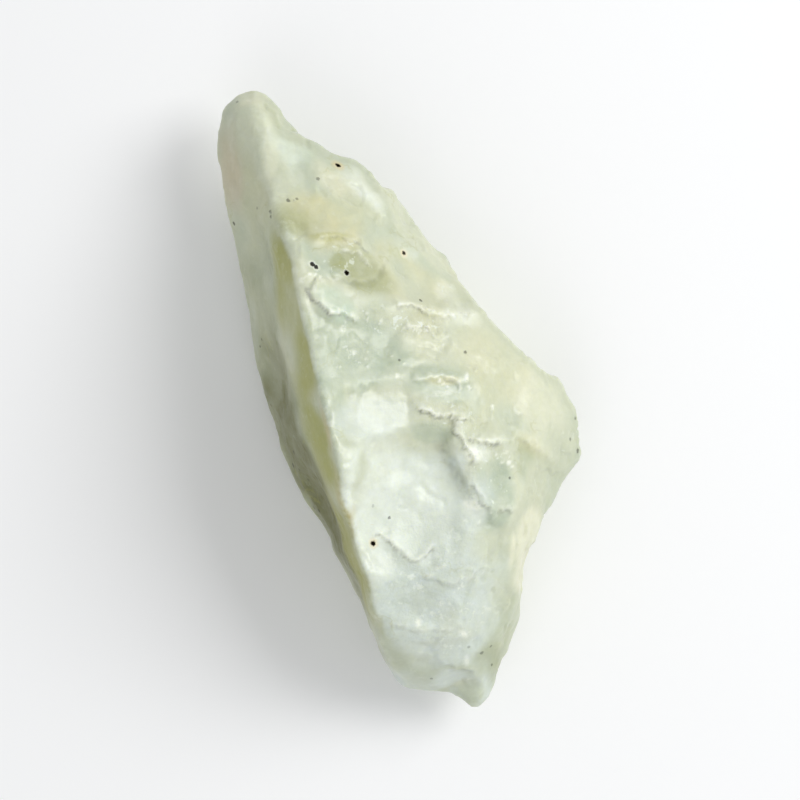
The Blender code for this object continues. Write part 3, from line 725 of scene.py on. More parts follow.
@dataclass(frozen=True)
class WaxyBreak:
    """The finish of a fresh break: waxy, milky stone with soft tints, bruised edges, dark grains and painted
    shade.

    Attributes:
        roughness: How matt the smooth breaks are.
        sugary_roughness: How matt the sugary breaks are.
        milkiness: How much light goes in under the skin.
        glow_mm: How far that light travels.
        glow_colour: How far its red, green and blue travel, as shares of that.
        refraction: How strongly the stone bends light.
        dullness: The share of the shine that the weathered flank lacks.
        shine: The strength of the reflection where the stone is fresh.
        bump_mm: How deep the finest grain is.
        bump_strengths: How strongly it shows on smooth breaks, and how much more on sugary ones.
        clouds: The strengths of the grey and the warm clouds, and of the mossy tint of the sides that don't
            face up, which is partly their own deeper green and partly painted shade.
        zone_share: How much of a zone's tint shows.
        zone_swing: How far the clouds change that on the sides, and how much further on the upper side.
        raised_mm: How far an edge stands out before it is worn, and where it is quite worn.
        sunk_mm: The same for a hollow before painted shade darkens it.
        worn, hollow: How strong the wear on edges and the painted shade in hollows are.
        crumb_white: How white the crumbs are on smooth breaks, and how much more on sugary ones.
        foot, lip: How strongly the painted shadows at the ledges' feet and the white lips of the ledges show.
        grain_shades: The darkest and the lightest shade of the fine mottling.
        vein: The width of a vein in terms of its noise, and its strength.
        pale_ring, rusty_stain: How strong the rings round the dark grains are.
        ragged_mm: How ragged the dark grains are.
        core: From where to where a grain fades, in its radii.
        scattered: How far apart the scattered grains may be, and how dark they are.
        scattered_mm: From where to where a scattered grain fades, in terms of that distance.
        scattered_share: The draw from which a scattered grain is there.
    """

    roughness: float = 0.33
    sugary_roughness: float = 0.56
    milkiness: float = 0.42
    glow_mm: float = 0.7
    glow_colour: tuple[float, float, float] = (1.0, 0.95, 0.55)
    refraction: float = 1.56
    dullness: float = 0.90
    shine: float = 0.5
    bump_mm: float = 0.18
    bump_strengths: tuple[float, float] = (0.10, 0.45)
    clouds: tuple[float, float, float] = (0.55, 0.35, 0.22)
    zone_share: float = 0.85
    zone_swing: tuple[float, float] = (0.12, 0.33)
    raised_mm: tuple[float, float] = (0.02, 0.14)
    sunk_mm: tuple[float, float] = (-0.02, -0.12)
    worn: float = 0.35
    hollow: float = 0.16
    crumb_white: tuple[float, float] = (0.10, 0.75)
    foot: float = 0.80
    lip: float = 0.60
    grain_shades: tuple[tuple[float, ...], tuple[float, ...]] = (
        (0.96, 0.965, 0.95, 1.0), (1.02, 1.02, 1.02, 1.0),
    )
    vein: tuple[float, float] = (0.012, 0.35)
    pale_ring: float = 0.50
    rusty_stain: float = 0.40
    ragged_mm: float = 0.22
    core: tuple[float, float] = (1.45, 0.80)
    scattered: tuple[float, float] = (2.1, 0.55)
    scattered_mm: tuple[float, float] = (0.075, 0.035)
    scattered_share: tuple[float, float] = (0.90, 0.91)

    def material(self) -> bpy.types.Material:
        """Builds the material.

        Returns:
            The finished material.
        """
        material = bpy.data.materials.new("waxy_serpentine")
        material.use_nodes = True
        write = NodeWriter(material.node_tree)
        shader = material.node_tree.nodes["Principled BSDF"]
        place = self.place(write)
        sugary = write.attribute(Zone.SUGARY.value)
        colour = self.body_colour(write, place)
        colour = self.zone_tints(write, place, colour)
        colour = self.bruises_and_shade(write, place, colour, sugary)
        colour = self.veins(write, place, colour)
        near = self.near_grain(write, place)
        colour = self.stains(write, near, colour)
        dark = self.dark_grains(write, place, near)
        colour = write.mix(dark, colour, Tone.SPECK.linear)
        milky = write.math("MULTIPLY", write.math("SUBTRACT", 1.0, dark), self.milkiness)
        material.node_tree.links.new(colour, shader.inputs["Base Color"])
        material.node_tree.links.new(milky, shader.inputs["Subsurface Weight"])
        worn = write.math("MAXIMUM", write.attribute(Zone.BROWN.value), write.attribute(Zone.OLIVE.value))
        worn = write.math("MAXIMUM", worn, write.attribute(Zone.MOSS.value))
        dull = write.math("MULTIPLY", worn, self.dullness)
        dull = write.math("SUBTRACT", 1.0, write.math("MAXIMUM", dull, dark))
        sheen = write.math("MULTIPLY", dull, self.shine)
        material.node_tree.links.new(sheen, shader.inputs["Specular IOR Level"])
        material.node_tree.links.new(self.surface_roughness(write, place, sugary), shader.inputs["Roughness"])
        material.node_tree.links.new(self.fine_bump(write, place, sugary), shader.inputs["Normal"])
        shader.inputs["IOR"].default_value = self.refraction
        shader.inputs["Subsurface Scale"].default_value = self.glow_mm * MM
        shader.inputs["Subsurface Radius"].default_value = self.glow_colour
        return material

    def place(self, write: NodeWriter) -> Socket:
        """Gives the place on the stone, in millimetres.

        Args:
            write: The material's node writer.

        Returns:
            The socket of the coordinates.
        """
        coordinates = write.add("ShaderNodeTexCoord").outputs["Object"]
        return write.add("ShaderNodeMapping", {"Vector": coordinates, "Scale": (1.0 / MM,) * 3}).outputs[0]

    def body_colour(self, write: NodeWriter, place: Socket) -> Socket:
        """Gives the stone's body colour: pale, with slow clouds of grey-green and cream, and moss on the
        sides that don't face up, partly their own deeper green and partly painted shade.

        Args:
            write: The material's node writer.
            place: The socket of the coordinates.

        Returns:
            The colour's socket.
        """
        covers = (
            GREY_CLOUDS.cover(write, place),
            WARM_CLOUDS.cover(write, place),
            write.math("SUBTRACT", 1.0, write.attribute("upward")),
        )
        colour = Tone.PALE.linear
        # The sides that don't face up turn mossier: partly their own deeper green, partly painted shade.
        for cover, strength, tone in zip(covers, self.clouds, (Tone.GREY_GREEN, Tone.YELLOW, Tone.MOSS)):
            colour = write.mix(write.math("MULTIPLY", cover, strength), colour, tone.linear)
        return colour

    def zone_tints(self, write: NodeWriter, place: Socket, colour: object) -> Socket:
        """Lays the tinted zones over the colour, each with a broken, cloudy edge.

        Args:
            write: The material's node writer.
            place: The socket of the coordinates.
            colour: The colour's socket.

        Returns:
            The new colour's socket.
        """
        tones = {
            Zone.GREY: Tone.GREY_GREEN, Zone.YELLOW: Tone.YELLOW, Zone.CREAM: Tone.CREAM,
            Zone.PEARL: Tone.PEARL, Zone.MOSS: Tone.MOSS, Zone.BROWN: Tone.BROWN, Zone.OLIVE: Tone.OLIVE,
            Zone.TAN: Tone.TAN, Zone.MINT: Tone.MINT, Zone.MILKY: Tone.MILK, Zone.OCHRE: Tone.OCHRE,
        }
        low, more = self.zone_swing
        swing = write.math("ADD", write.math("MULTIPLY", write.attribute("upward"), more), low)
        share = write.math("MULTIPLY", write.math("SUBTRACT", ZONE_CLOUDS.cover(write, place), 0.5), swing)
        share = write.math("ADD", share, self.zone_share)
        for zone, tone in tones.items():
            cover = write.math("MULTIPLY", write.attribute(zone.value), share, clamp=True)
            colour = write.mix(cover, colour, tone.linear)
        return colour

    def bruises_and_shade(
        self, write: NodeWriter, place: Socket, colour: object, sugary: object
    ) -> Socket:
        """Whitens edges and crumbs where the break bruised the stone, paints shade into hollows and at the
        feet of the ledges, and mottles the rest a little.

        Args:
            write: The material's node writer.
            place: The socket of the coordinates.
            colour: The colour's socket.
            sugary: The socket of the sugary zone.

        Returns:
            The new colour's socket.
        """
        edge = write.ramp(write.attribute("edge"), *self.raised_mm)
        worn = write.math("MULTIPLY", write.math("MULTIPLY", edge, WORN_EDGES.cover(write, place)), self.worn)
        colour = write.mix(worn, colour, Tone.MILK.linear)
        least, more = self.crumb_white
        amount = write.math("ADD", write.math("MULTIPLY", sugary, more), least)
        crumbs = write.math("MULTIPLY", WHITE_CRUMBS.cover(write, place), amount)
        colour = write.mix(crumbs, colour, Tone.MILK.linear)
        # Painted shade: hollows are tinted olive, more where they sink deeper.
        hollow = write.ramp(write.attribute("edge"), *self.sunk_mm)
        colour = write.mix(write.math("MULTIPLY", hollow, self.hollow), colour, Tone.OLIVE.linear)
        # Painted shadow: the foot of each ledge's steep face is darkened with the shadow tone.
        foot = write.math("MULTIPLY", write.attribute("foot"), self.foot)
        colour = write.mix(foot, colour, Tone.SHADOW.linear)
        lip = write.math("MULTIPLY", write.attribute("lip"), self.lip)
        spots = write.math("MULTIPLY", write.attribute(Zone.BRUISED.value), BRUISE_SPOTS.cover(write, place))
        colour = write.mix(write.math("MAXIMUM", lip, spots), colour, Tone.BRUISE.linear)
        shade = write.mix(GRAIN_SHADES.cover(write, place), *self.grain_shades)
        return write.mix(1.0, colour, shade, "MULTIPLY")

    def veins(self, write: NodeWriter, place: Socket, colour: object) -> Socket:
        """Draws faint hair veins, where a slow noise crosses its middle.

        Args:
            write: The material's node writer.
            place: The socket of the coordinates.
            colour: The colour's socket.

        Returns:
            The new colour's socket.
        """
        width, strength = self.vein
        slow = write.noise(write.vector("ADD", place, VEIN_SHIFT_MM).outputs[0], VEIN_LENGTH_MM, VEIN_DETAIL)
        away = write.math("ABSOLUTE", write.math("SUBTRACT", slow, 0.5))
        line = write.math("SUBTRACT", 1.0, write.ramp(away, 0.0, width))
        faint = write.math("MULTIPLY", line, VEIN_PATCHES.cover(write, place))
        return write.mix(write.math("MULTIPLY", faint, strength), colour, Tone.OLIVE.linear)

    def near_grain(self, write: NodeWriter, place: Socket) -> dict[str, Socket]:
        """Reads the nearest dark grain, and measures the slightly ragged distance to it.

        Args:
            write: The material's node writer.
            place: The socket of the coordinates.

        Returns:
            The sockets of the distance, and of the grain's radius, stain, pale ring and darkness.
        """
        inputs = {"Vector": place, "Scale": RAGS_IN_A_MM, "Detail": 2.0}
        jitter = write.add("ShaderNodeTexNoise", inputs).outputs[1]
        bend = write.vector("SUBTRACT", jitter, (0.5, 0.5, 0.5)).outputs[0]
        bend = write.vector("SCALE", bend, scale=self.ragged_mm).outputs[0]
        bent = write.vector("ADD", place, bend).outputs[0]
        middle = write.add("ShaderNodeAttribute", attribute_name="grain_at").outputs["Vector"]
        form = write.add("ShaderNodeAttribute", attribute_name="grain_form").outputs["Vector"]
        parts = write.add("ShaderNodeSeparateXYZ", {0: form}).outputs
        gap = write.vector("DISTANCE", bent, middle).outputs["Value"]
        return {
            "gap": gap, "radius": parts[0], "halo": parts[1], "pale": parts[2],
            "dark": write.attribute("grain_dark"),
        }

    def stains(
        self, write: NodeWriter, near: dict[str, Socket], colour: object
    ) -> Socket:
        """Lays a pale ring and a rusty stain round the grains that have one.

        Args:
            write: The material's node writer.
            near: The sockets of the nearest grain.
            colour: The colour's socket.

        Returns:
            The new colour's socket.
        """
        rings = (("pale", self.pale_ring, Tone.BRUISE), ("halo", self.rusty_stain, Tone.RUST))
        for reach, strength, tone in rings:
            ring = write.math("MULTIPLY", write.ramp(near["gap"], near[reach], near["radius"]), strength)
            ring = write.math("MULTIPLY", ring, write.math("GREATER_THAN", near[reach], near["radius"]))
            colour = write.mix(ring, colour, tone.linear)
        return colour

    def dark_grains(self, write: NodeWriter, place: object, near: dict[str, Socket]) -> object:
        """Says where the dark grains are: those that show from above, and scattered ones all round.

        Args:
            write: The material's node writer.
            place: The socket of the coordinates.
            near: The sockets of the nearest grain.

        Returns:
            The socket of the darkness, from 0 to 1.
        """
        spacing, darkness = self.scattered
        cells = write.add("ShaderNodeTexVoronoi", {"Vector": place, "Scale": 1.0 / spacing})
        draw = write.add("ShaderNodeSeparateXYZ", {0: cells.outputs["Color"]}).outputs[0]
        chosen = write.ramp(draw, *self.scattered_share)
        dot = write.ramp(cells.outputs["Distance"], *self.scattered_mm)
        faint = write.math("MULTIPLY", write.math("MULTIPLY", dot, chosen), darkness)
        outer, inner = (write.math("MULTIPLY", near["radius"], reach) for reach in self.core)
        core = write.ramp(near["gap"], outer, inner)
        return write.math("MAXIMUM", faint, write.math("MULTIPLY", core, near["dark"]))

    def surface_roughness(
        self, write: NodeWriter, place: Socket, sugary: object
    ) -> Socket:
        """Gives the roughness: waxy on smooth breaks, matt on sugary ones, with small glints.

        Args:
            write: The material's node writer.
            place: The socket of the coordinates.
            sugary: The socket of the sugary zone.

        Returns:
            The socket of the roughness.
        """
        share = write.math("MAXIMUM", sugary, MATT_CLOUDS.cover(write, place))
        span = self.sugary_roughness - self.roughness
        return write.math("ADD", write.math("MULTIPLY", share, span), self.roughness)

    def fine_bump(self, write: NodeWriter, place: Socket, sugary: object) -> Socket:
        """Gives the finest grain, too small for the mesh.

        Args:
            write: The material's node writer.
            place: The socket of the coordinates.
            sugary: The socket of the sugary zone.

        Returns:
            The socket of the bumped normal.
        """
        least, more = self.bump_strengths
        strength = write.math("ADD", write.math("MULTIPLY", sugary, more), least)
        grain = write.noise(place, *FINEST_GRAIN)
        inputs = {"Height": grain, "Strength": strength, "Distance": self.bump_mm * MM}
        return write.add("ShaderNodeBump", inputs).outputs[0]


@dataclass(frozen=True)
class BreakGrain:
    """The relief of a fresh break, finer than the frame's solid, as a Geometry Nodes tree.

    Attributes:
        swell_mm: How high the slow waves stand.
        swell_length_mm: How long they are.
        hackle_mm: How high the fine ribs stand.
        hackle_length_mm: How long they are.
        crumb_mm: How high the crumbs of the sugary zones stand.
        crumb_length_mm: How wide they are.
        step_mm: How high one small ledge stands over the next.
        step_length_mm: How long the small ledges are.
        floor_fade_mm: The heights between which the grain sets in, so that the stone rests flat.
        hackle_stretch: How the ribs are drawn out along X, Y and Z.
        terraces: How many small ledges the slow noise is cut into.
        step_face: The share of a small ledge at which its steep face starts, and where it ends.
        seed: The fixed seed of the noise.
    """

    floor_fade_mm: tuple[float, float] = (0.05, 0.9)
    hackle_stretch: tuple[float, float, float] = (1.0, 0.55, 1.0)
    terraces: float = 6.0
    step_face: tuple[float, float] = (0.78, 0.97)
    swell_mm: float = 0.32
    swell_length_mm: float = 2.6
    hackle_mm: float = 0.10
    hackle_length_mm: float = 0.85
    crumb_mm: float = 0.17
    crumb_length_mm: float = 0.95
    step_mm: float = 0.16
    step_length_mm: float = 4.2
    seed: float = 4.0

    def inputs(self) -> dict[str, float]:
        """Names the tree's inputs.

        Returns:
            Each input's name and its value.
        """
        return {
            "Swell height": self.swell_mm, "Swell length": self.swell_length_mm,
            "Hackle height": self.hackle_mm, "Hackle length": self.hackle_length_mm,
            "Crumb height": self.crumb_mm, "Crumb length": self.crumb_length_mm,
            "Step height": self.step_mm, "Step length": self.step_length_mm,
            "Seed": self.seed,
        }

    def tree(self) -> bpy.types.NodeTree:
        """Builds the node tree.

        Returns:
            The tree, which moves each point along its normal.
        """
        tree = bpy.data.node_groups.new("break_grain", "GeometryNodeTree")
        tree.interface.new_socket("Geometry", in_out="INPUT", socket_type="NodeSocketGeometry")
        for name, value in self.inputs().items():
            number = tree.interface.new_socket(name, in_out="INPUT", socket_type="NodeSocketFloat")
            number.default_value = value
        tree.interface.new_socket("Material", in_out="INPUT", socket_type="NodeSocketMaterial")
        tree.interface.new_socket("Geometry", in_out="OUTPUT", socket_type="NodeSocketGeometry")
        write = NodeWriter(tree)
        given = write.add("NodeGroupInput").outputs
        place = write.add("GeometryNodeInputPosition").outputs[0]
        height = self.swell(write, place, given)
        height = write.math("ADD", height, self.hackle(write, place, given))
        height = write.math("ADD", height, self.crumbs(write, place, given))
        height = write.math("ADD", height, self.steps(write, place, given))
        low = write.add("ShaderNodeSeparateXYZ", {0: place}).outputs[2]
        height = write.math("MULTIPLY", height, write.ramp(low, *self.floor_fade_mm))
        calm = write.add("GeometryNodeInputNamedAttribute", {"Name": "calm"}, data_type="FLOAT").outputs[0]
        height = write.math("MULTIPLY", height, write.math("SUBTRACT", 1.0, calm))
        normal = write.add("GeometryNodeInputNormal").outputs[0]
        offset = write.vector("SCALE", normal, scale=height).outputs[0]
        inputs = {"Geometry": given["Geometry"], "Offset": offset}
        moved = write.add("GeometryNodeSetPosition", inputs).outputs[0]
        real = write.add("GeometryNodeRealizeInstances", {0: moved}).outputs[0]
        inputs = {"Geometry": real, "Material": given["Material"]}
        dressed = write.add("GeometryNodeSetMaterial", inputs).outputs[0]
        write.add("NodeGroupOutput", {0: dressed})
        return tree

    def layer(
        self, write: NodeWriter, place: object, length: object, seed: object, detail: float, rough: float
    ) -> Socket:
        """Adds one layer of seeded noise round 0.

        Args:
            write: The tree's node writer.
            place: The socket of the point's place, in millimetres.
            length: The socket of the size of its lumps.
            seed: The socket of the seed.
            detail: How many finer layers it has.
            rough: How strong the finer layers are.

        Returns:
            The socket of the height, from about -0.5 to 0.5.
        """
        scale = write.math("DIVIDE", 1.0, length)
        inputs = {"Vector": place, "W": seed, "Scale": scale, "Detail": detail, "Roughness": rough}
        value = write.add("ShaderNodeTexNoise", inputs, noise_dimensions="4D").outputs[0]
        return write.math("SUBTRACT", value, 0.5)

    def swell(self, write: NodeWriter, place: object, given: object) -> Socket:
        """Gives the slow waves of the break.

        Args:
            write: The tree's node writer.
            place: The socket of the point's place.
            given: The tree's inputs.

        Returns:
            The socket of the height.
        """
        wave = self.layer(write, place, given["Swell length"], given["Seed"], 3.0, 0.5)
        return write.math("MULTIPLY", wave, given["Swell height"])

    def hackle(self, write: NodeWriter, place: object, given: object) -> Socket:
        """Gives the fine ribs: noise folded at its middle, so that it has sharp valleys.

        Args:
            write: The tree's node writer.
            place: The socket of the point's place.
            given: The tree's inputs.

        Returns:
            The socket of the height.
        """
        seed = write.math("ADD", given["Seed"], SEED_SHIFTS["hackle"])
        stretched = write.vector("MULTIPLY", place, self.hackle_stretch).outputs[0]
        folded = write.math("ABSOLUTE", self.layer(write, stretched, given["Hackle length"], seed, 4.0, 0.55))
        patchy = HACKLE_PATCHES.cover(write, place)
        return write.math("MULTIPLY", folded, write.math("MULTIPLY", given["Hackle height"], patchy))

    def crumbs(self, write: NodeWriter, place: object, given: object) -> Socket:
        """Gives the crumbs of the sugary zones.

        Args:
            write: The tree's node writer.
            place: The socket of the point's place.
            given: The tree's inputs.

        Returns:
            The socket of the height.
        """
        inputs = {"Name": Zone.SUGARY.value}
        sugary = write.add("GeometryNodeInputNamedAttribute", inputs, data_type="FLOAT").outputs[0]
        seed = write.math("ADD", given["Seed"], SEED_SHIFTS["crumbs"])
        grain = self.layer(write, place, given["Crumb length"], seed, 4.0, 0.65)
        return write.math("MULTIPLY", grain, write.math("MULTIPLY", given["Crumb height"], sugary))

    def steps(self, write: NodeWriter, place: object, given: object) -> Socket:
        """Gives small ledges: a slow noise cut into terraces, each with a short steep face.

        Args:
            write: The tree's node writer.
            place: The socket of the point's place.
            given: The tree's inputs.

        Returns:
            The socket of the height.
        """
        seed = write.math("ADD", given["Seed"], SEED_SHIFTS["steps"])
        slow = self.layer(write, place, given["Step length"], seed, 4.0, 0.5)
        level = write.math("MULTIPLY", slow, self.terraces)
        whole = write.math("FLOOR", level)
        rise = write.ramp(write.math("SUBTRACT", level, whole), *self.step_face)
        terrace = write.math("SUBTRACT", write.math("ADD", whole, rise), level)
        patchy = STEP_PATCHES.cover(write, place)
        return write.math("MULTIPLY", terrace, write.math("MULTIPLY", given["Step height"], patchy))


@dataclass
class BrokenStone:
    """The stone's skin, made from the frame's solid.

    Attributes:
        node: The frame's node that it stands for.
        body: The body that it rides on.
        slot: The record's material slot; nothing here reads it.
        rounding_levels: How often the solid's triangles are split and rounded.
        voxel_mm: The grid that the skin is remeshed on.
        soften_rounds: How often each point moves towards its neighbours before the grain goes on.
        plump_mm: What the softening takes off, put back on.
        edge_rounds: How wide the look-around is that tells edges from hollows.
        upper_side_slopes: The upward parts of the normal between which the flank turns into the upper side.
        wander_mm: How far the ledges stray from their lines.
        wander_length_mm: How long those bends are.
        zone_length_mm: How long the bends in the edges of the zones are.
        ragged_mm: How ragged the ledges and crumbs are.
        ragged_length_mm: How long the rags are.
        grain_reach: How many of its radii a dark grain may reach.
        side_stray: How many times further the zones of the steep sides stray.
        flank_calm: The share of the grain that the flank loses.
        flank_slope: How far to the left the normal turns before the flank is quite calm.
        grain: The relief of the break.
        finish: The look of the break.
    """

    node: str = "serpentine_stone"
    body: str = "root"
    slot: str = "stone"
    rounding_levels: int = 1
    voxel_mm: float = 0.182
    soften_rounds: int = 2
    plump_mm: float = 0.08
    edge_rounds: int = 14
    upper_side_slopes: tuple[float, float] = (0.58, 0.74)
    wander_mm: float = 0.40
    wander_length_mm: float = 1.5
    zone_length_mm: float = 3.0
    ragged_mm: float = 0.22
    ragged_length_mm: float = 0.45
    grain_reach: float = 1.7
    side_stray: float = 2.4
    flank_calm: float = 0.65
    flank_slope: float = 0.5
    grain: BreakGrain = field(default_factory=BreakGrain)
    finish: WaxyBreak = field(default_factory=WaxyBreak)

    def build(self) -> bpy.types.Object:
        """Makes the skin, dresses it and puts it in the frame.

        Returns:
            The finished piece.
        """
        skin = self.fine_skin()
        self.move_towards_neighbours(skin, self.soften_rounds)
        self.set_points(skin, self.points(skin) + self.plump_mm * self.normals(skin))
        self.break_fine_steps(skin)
        self.write_zones(skin, [Zone.SUGARY])
        skin = self.grained(skin)
        self.keep_in_box(skin)
        self.write_zones(skin, list(Zone))
        self.write_edges(skin)
        self.write_specks(skin)
        skin.data.shade_smooth()
        skin.data.transform(Matrix.Scale(MM, 4))
        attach(skin, self.body)
        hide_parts(self.node)
        LOG.info("%s: %d faces", skin.name, len(skin.data.polygons))
        return skin

    def fine_skin(self) -> bpy.types.Object:
        """Copies the solid, rounds its triangles and remeshes it finely, in millimetres.

        Returns:
            The fine skin.
        """
        mesh = bpy.data.objects[self.node].data.copy()
        mesh.name = "stone_skin"
        mesh.materials.clear()
        mesh.transform(Matrix.Scale(1.0 / MM, 4))
        skin = bpy.data.objects.new("stone_skin", mesh)
        bpy.context.scene.collection.objects.link(skin)
        weld = skin.modifiers.new("weld", "WELD")
        weld.merge_threshold = 0.001
        rounding = skin.modifiers.new("rounding", "SUBSURF")
        rounding.levels = self.rounding_levels
        rounding.render_levels = self.rounding_levels
        remesh = skin.modifiers.new("remesh", "REMESH")
        remesh.mode = "VOXEL"
        remesh.voxel_size = self.voxel_mm
        remesh.adaptivity = 0.0
        self.make_plain(skin)
        return skin

    def make_plain(self, skin: bpy.types.Object) -> None:
        """Turns what the modifiers make into the object's own mesh, and removes them.

        Args:
            skin: The object.
        """
        seen = skin.evaluated_get(bpy.context.evaluated_depsgraph_get())
        mesh = bpy.data.meshes.new_from_object(seen)
        skin.modifiers.clear()
        skin.data = mesh
        mesh.name = skin.name

    def grained(self, skin: bpy.types.Object) -> bpy.types.Object:
        """Works the grain of the break over the skin.

        Args:
            skin: The fine skin.

        Returns:
            The same object with its new mesh.
        """
        tree = self.grain.tree()
        modifier = skin.modifiers.new("grain", "NODES")
        modifier.node_group = tree
        values = {**self.grain.inputs(), "Material": self.finish.material()}
        for item in tree.interface.items_tree:
            if item.in_out == "INPUT" and item.name in values:
                modifier[item.identifier] = values[item.name]
        self.make_plain(skin)
        return skin

    def write_specks(self, skin: bpy.types.Object) -> None:
        """Drops each dark grain straight down onto the skin, and writes the nearest one for each point.

        Args:
            skin: The object, in millimetres.
        """
        bpy.context.view_layer.update()
        top = CAD_BOX[1].z / MM + 1.0
        specks, places = [], []
        for speck in SPECKS:
            hit, place, _, _ = skin.ray_cast(Vector((*speck.at_mm, top)), Vector((0.0, 0.0, -1.0)))
            if hit:
                specks.append(speck)
                places.append(tuple(place))
        points = self.points(skin)
        places = np.array(places)
        gaps = ((points[:, None, :] - places[None, :, :]) ** 2).sum(axis=2)
        nearest = np.argmin(gaps, axis=1)
        form = np.array([(speck.radius_mm, speck.halo_mm, speck.pale_mm) for speck in specks])
        dark = np.array([speck.dark for speck in specks])[nearest]
        dark[np.sqrt(gaps.min(axis=1)) > self.grain_reach * form[nearest, 0]] = 0.0
        self.write_attribute(skin, "grain_at", places[nearest])
        self.write_attribute(skin, "grain_form", form[nearest])
        self.write_attribute(skin, "grain_dark", dark)

    def points(self, skin: bpy.types.Object) -> np.ndarray:
        """Reads the points.

        Args:
            skin: The object.

        Returns:
            One row for each point.
        """
        flat = np.empty(len(skin.data.vertices) * 3, dtype=np.float64)
        skin.data.vertices.foreach_get("co", flat)
        return flat.reshape(-1, 3)

    def normals(self, skin: bpy.types.Object) -> np.ndarray:
        """Reads the points' normals.

        Args:
            skin: The object.

        Returns:
            One row for each point.
        """
        flat = np.empty(len(skin.data.vertices) * 3, dtype=np.float64)
        skin.data.vertices.foreach_get("normal", flat)
        return flat.reshape(-1, 3)

    def set_points(self, skin: bpy.types.Object, points: np.ndarray) -> None:
        """Writes the points.

        Args:
            skin: The object.
            points: One row for each point.
        """
        skin.data.vertices.foreach_set("co", points.ravel())
        skin.data.update()

    def smoothed(self, skin: bpy.types.Object, points: np.ndarray, rounds: int) -> np.ndarray:
        """Moves each point to the mean of its neighbours and itself, some times over.

        Args:
            skin: The object whose edges join the points.
            points: One row for each point.
            rounds: How many times.

        Returns:
            The moved points.
        """
        ends = np.empty(len(skin.data.edges) * 2, dtype=np.int64)
        skin.data.edges.foreach_get("vertices", ends)
        first, second = ends[0::2], ends[1::2]
        count = len(points)
        weight = 1.0 + np.bincount(first, minlength=count) + np.bincount(second, minlength=count)
        moved = points.copy()
        for _ in range(rounds):
            total = moved.copy()
            for axis in range(points.shape[1]):
                total[:, axis] += np.bincount(first, weights=moved[second, axis], minlength=count)
                total[:, axis] += np.bincount(second, weights=moved[first, axis], minlength=count)
            moved = total / weight[:, None]
        return moved

    def move_towards_neighbours(self, skin: bpy.types.Object, rounds: int) -> None:
        """Softens the steps of the remeshed grid.

        Args:
            skin: The object.
            rounds: How many times each point moves.
        """
        self.set_points(skin, self.smoothed(skin, self.points(skin), rounds))

    def upward(self, skin: bpy.types.Object) -> np.ndarray:
        """Says how far each point faces up, seen over a small neighbourhood.

        Args:
            skin: The object.

        Returns:
            1 for a point on the upper side, and 0 for one on the flank or below.
        """
        calm = self.smoothed(skin, self.normals(skin), self.edge_rounds)[:, 2]
        low, high = self.upper_side_slopes
        return smooth_step((calm - low) / (high - low))

    def calm_flank(self, skin: bpy.types.Object, upward: np.ndarray) -> np.ndarray:
        """Says where the grain is held back: on the smooth flank, which faces left, and on one facet.

        Args:
            skin: The object.
            upward: 1 for a point on the upper side, and 0 for one on a steep side or below.

        Returns:
            The share of the grain that is taken off at each point.
        """
        left = -self.smoothed(skin, self.normals(skin), self.edge_rounds)[:, 0]
        flank = self.flank_calm * (1.0 - upward) * smooth_step(left / self.flank_slope)
        return np.maximum(flank, QUIET_FACET.cover(self.points(skin), np.zeros((len(upward), 3))))

    def break_fine_steps(self, skin: bpy.types.Object) -> None:
        """Raises the fine ledges and the crumbs, and writes where they are bruised and where painted shadow
        darkens their feet.

        Args:
            skin: The object.
        """
        points = self.points(skin)
        upward = self.upward(skin)
        stray = stray_at(points, self.wander_length_mm)
        fine = stray_at(points, self.ragged_length_mm)
        plan = points[:, :2] + self.wander_mm * stray[:, :2] + self.ragged_mm * fine[:, :2]
        lip, foot, lift = np.zeros(len(points)), np.zeros(len(points)), np.zeros(len(points))
        for ledge in LEDGES:
            side, beyond = ledge.measure(plan)
            here = upward * (1.0 - smooth_step(beyond / ledge.fade_mm))
            broken = smooth_step(WHOLE_LIP + FINE_BREAKS * fine[:, 2] + SLOW_BREAKS * stray[:, 2])
            high = smooth_step(side / ledge.face_mm + 0.5) * (1.0 - smooth_step(side / ledge.run_mm))
            lift += ledge.rise_mm * high * here
            on_lip = np.exp(-(((side - 0.5 * ledge.lip_mm) / ledge.lip_mm) ** 2))
            # Where the painted shadow lies, just below each step's face.
            at_foot = np.exp(-(((side + 0.5 * ledge.face_mm) / (FOOT_WIDTH * ledge.face_mm)) ** 2))
            lip = np.maximum(lip, ledge.lip * on_lip * here * broken)
            foot = np.maximum(foot, ledge.foot * at_foot * here * broken)
        plan = points[:, :2] + self.ragged_mm * fine[:, :2]
        dice = np.random.default_rng(CRUMB_SEED)
        for row in CRUMB_ROWS:
            start, end = np.array(row.line_mm)
            for _ in range(row.count):
                at = start + (end - start) * dice.uniform()
                at = at + dice.normal(0.0, CRUMB_SCATTER, 2) * row.spread_mm
                half = dice.uniform(*row.size_mm)
                thin = half * dice.uniform(*CRUMB_WIDTHS)
                turn = dice.normal(0.0, CRUMB_TURN)
                offset = plan - at
                along = (offset[:, 0] * math.cos(turn) + offset[:, 1] * math.sin(turn)) / half
                across = (offset[:, 1] * math.cos(turn) - offset[:, 0] * math.sin(turn)) / thin
                dome = smooth_step(1.0 - np.hypot(along, across)) * upward
                lift += row.rise_mm * dome * dice.uniform(*CRUMB_HEIGHTS)
                lip = np.maximum(lip, row.white * smooth_step(CRUMB_WHITENING * dome))
        points[:, 2] += lift
        self.set_points(skin, points)
        self.write_attribute(skin, "upward", upward)
        self.write_attribute(skin, "calm", self.calm_flank(skin, upward))
        self.write_attribute(skin, "lip", lip)
        self.write_attribute(skin, "foot", foot)

    def keep_in_box(self, skin: bpy.types.Object) -> None:
        """Keeps every point inside the frame's box, so that the stone rests flat and keeps its size.

        Args:
            skin: The object.
        """
        low = np.array(CAD_BOX[0]) / MM
        high = np.array(CAD_BOX[1]) / MM
        self.set_points(skin, np.clip(self.points(skin), low, high))

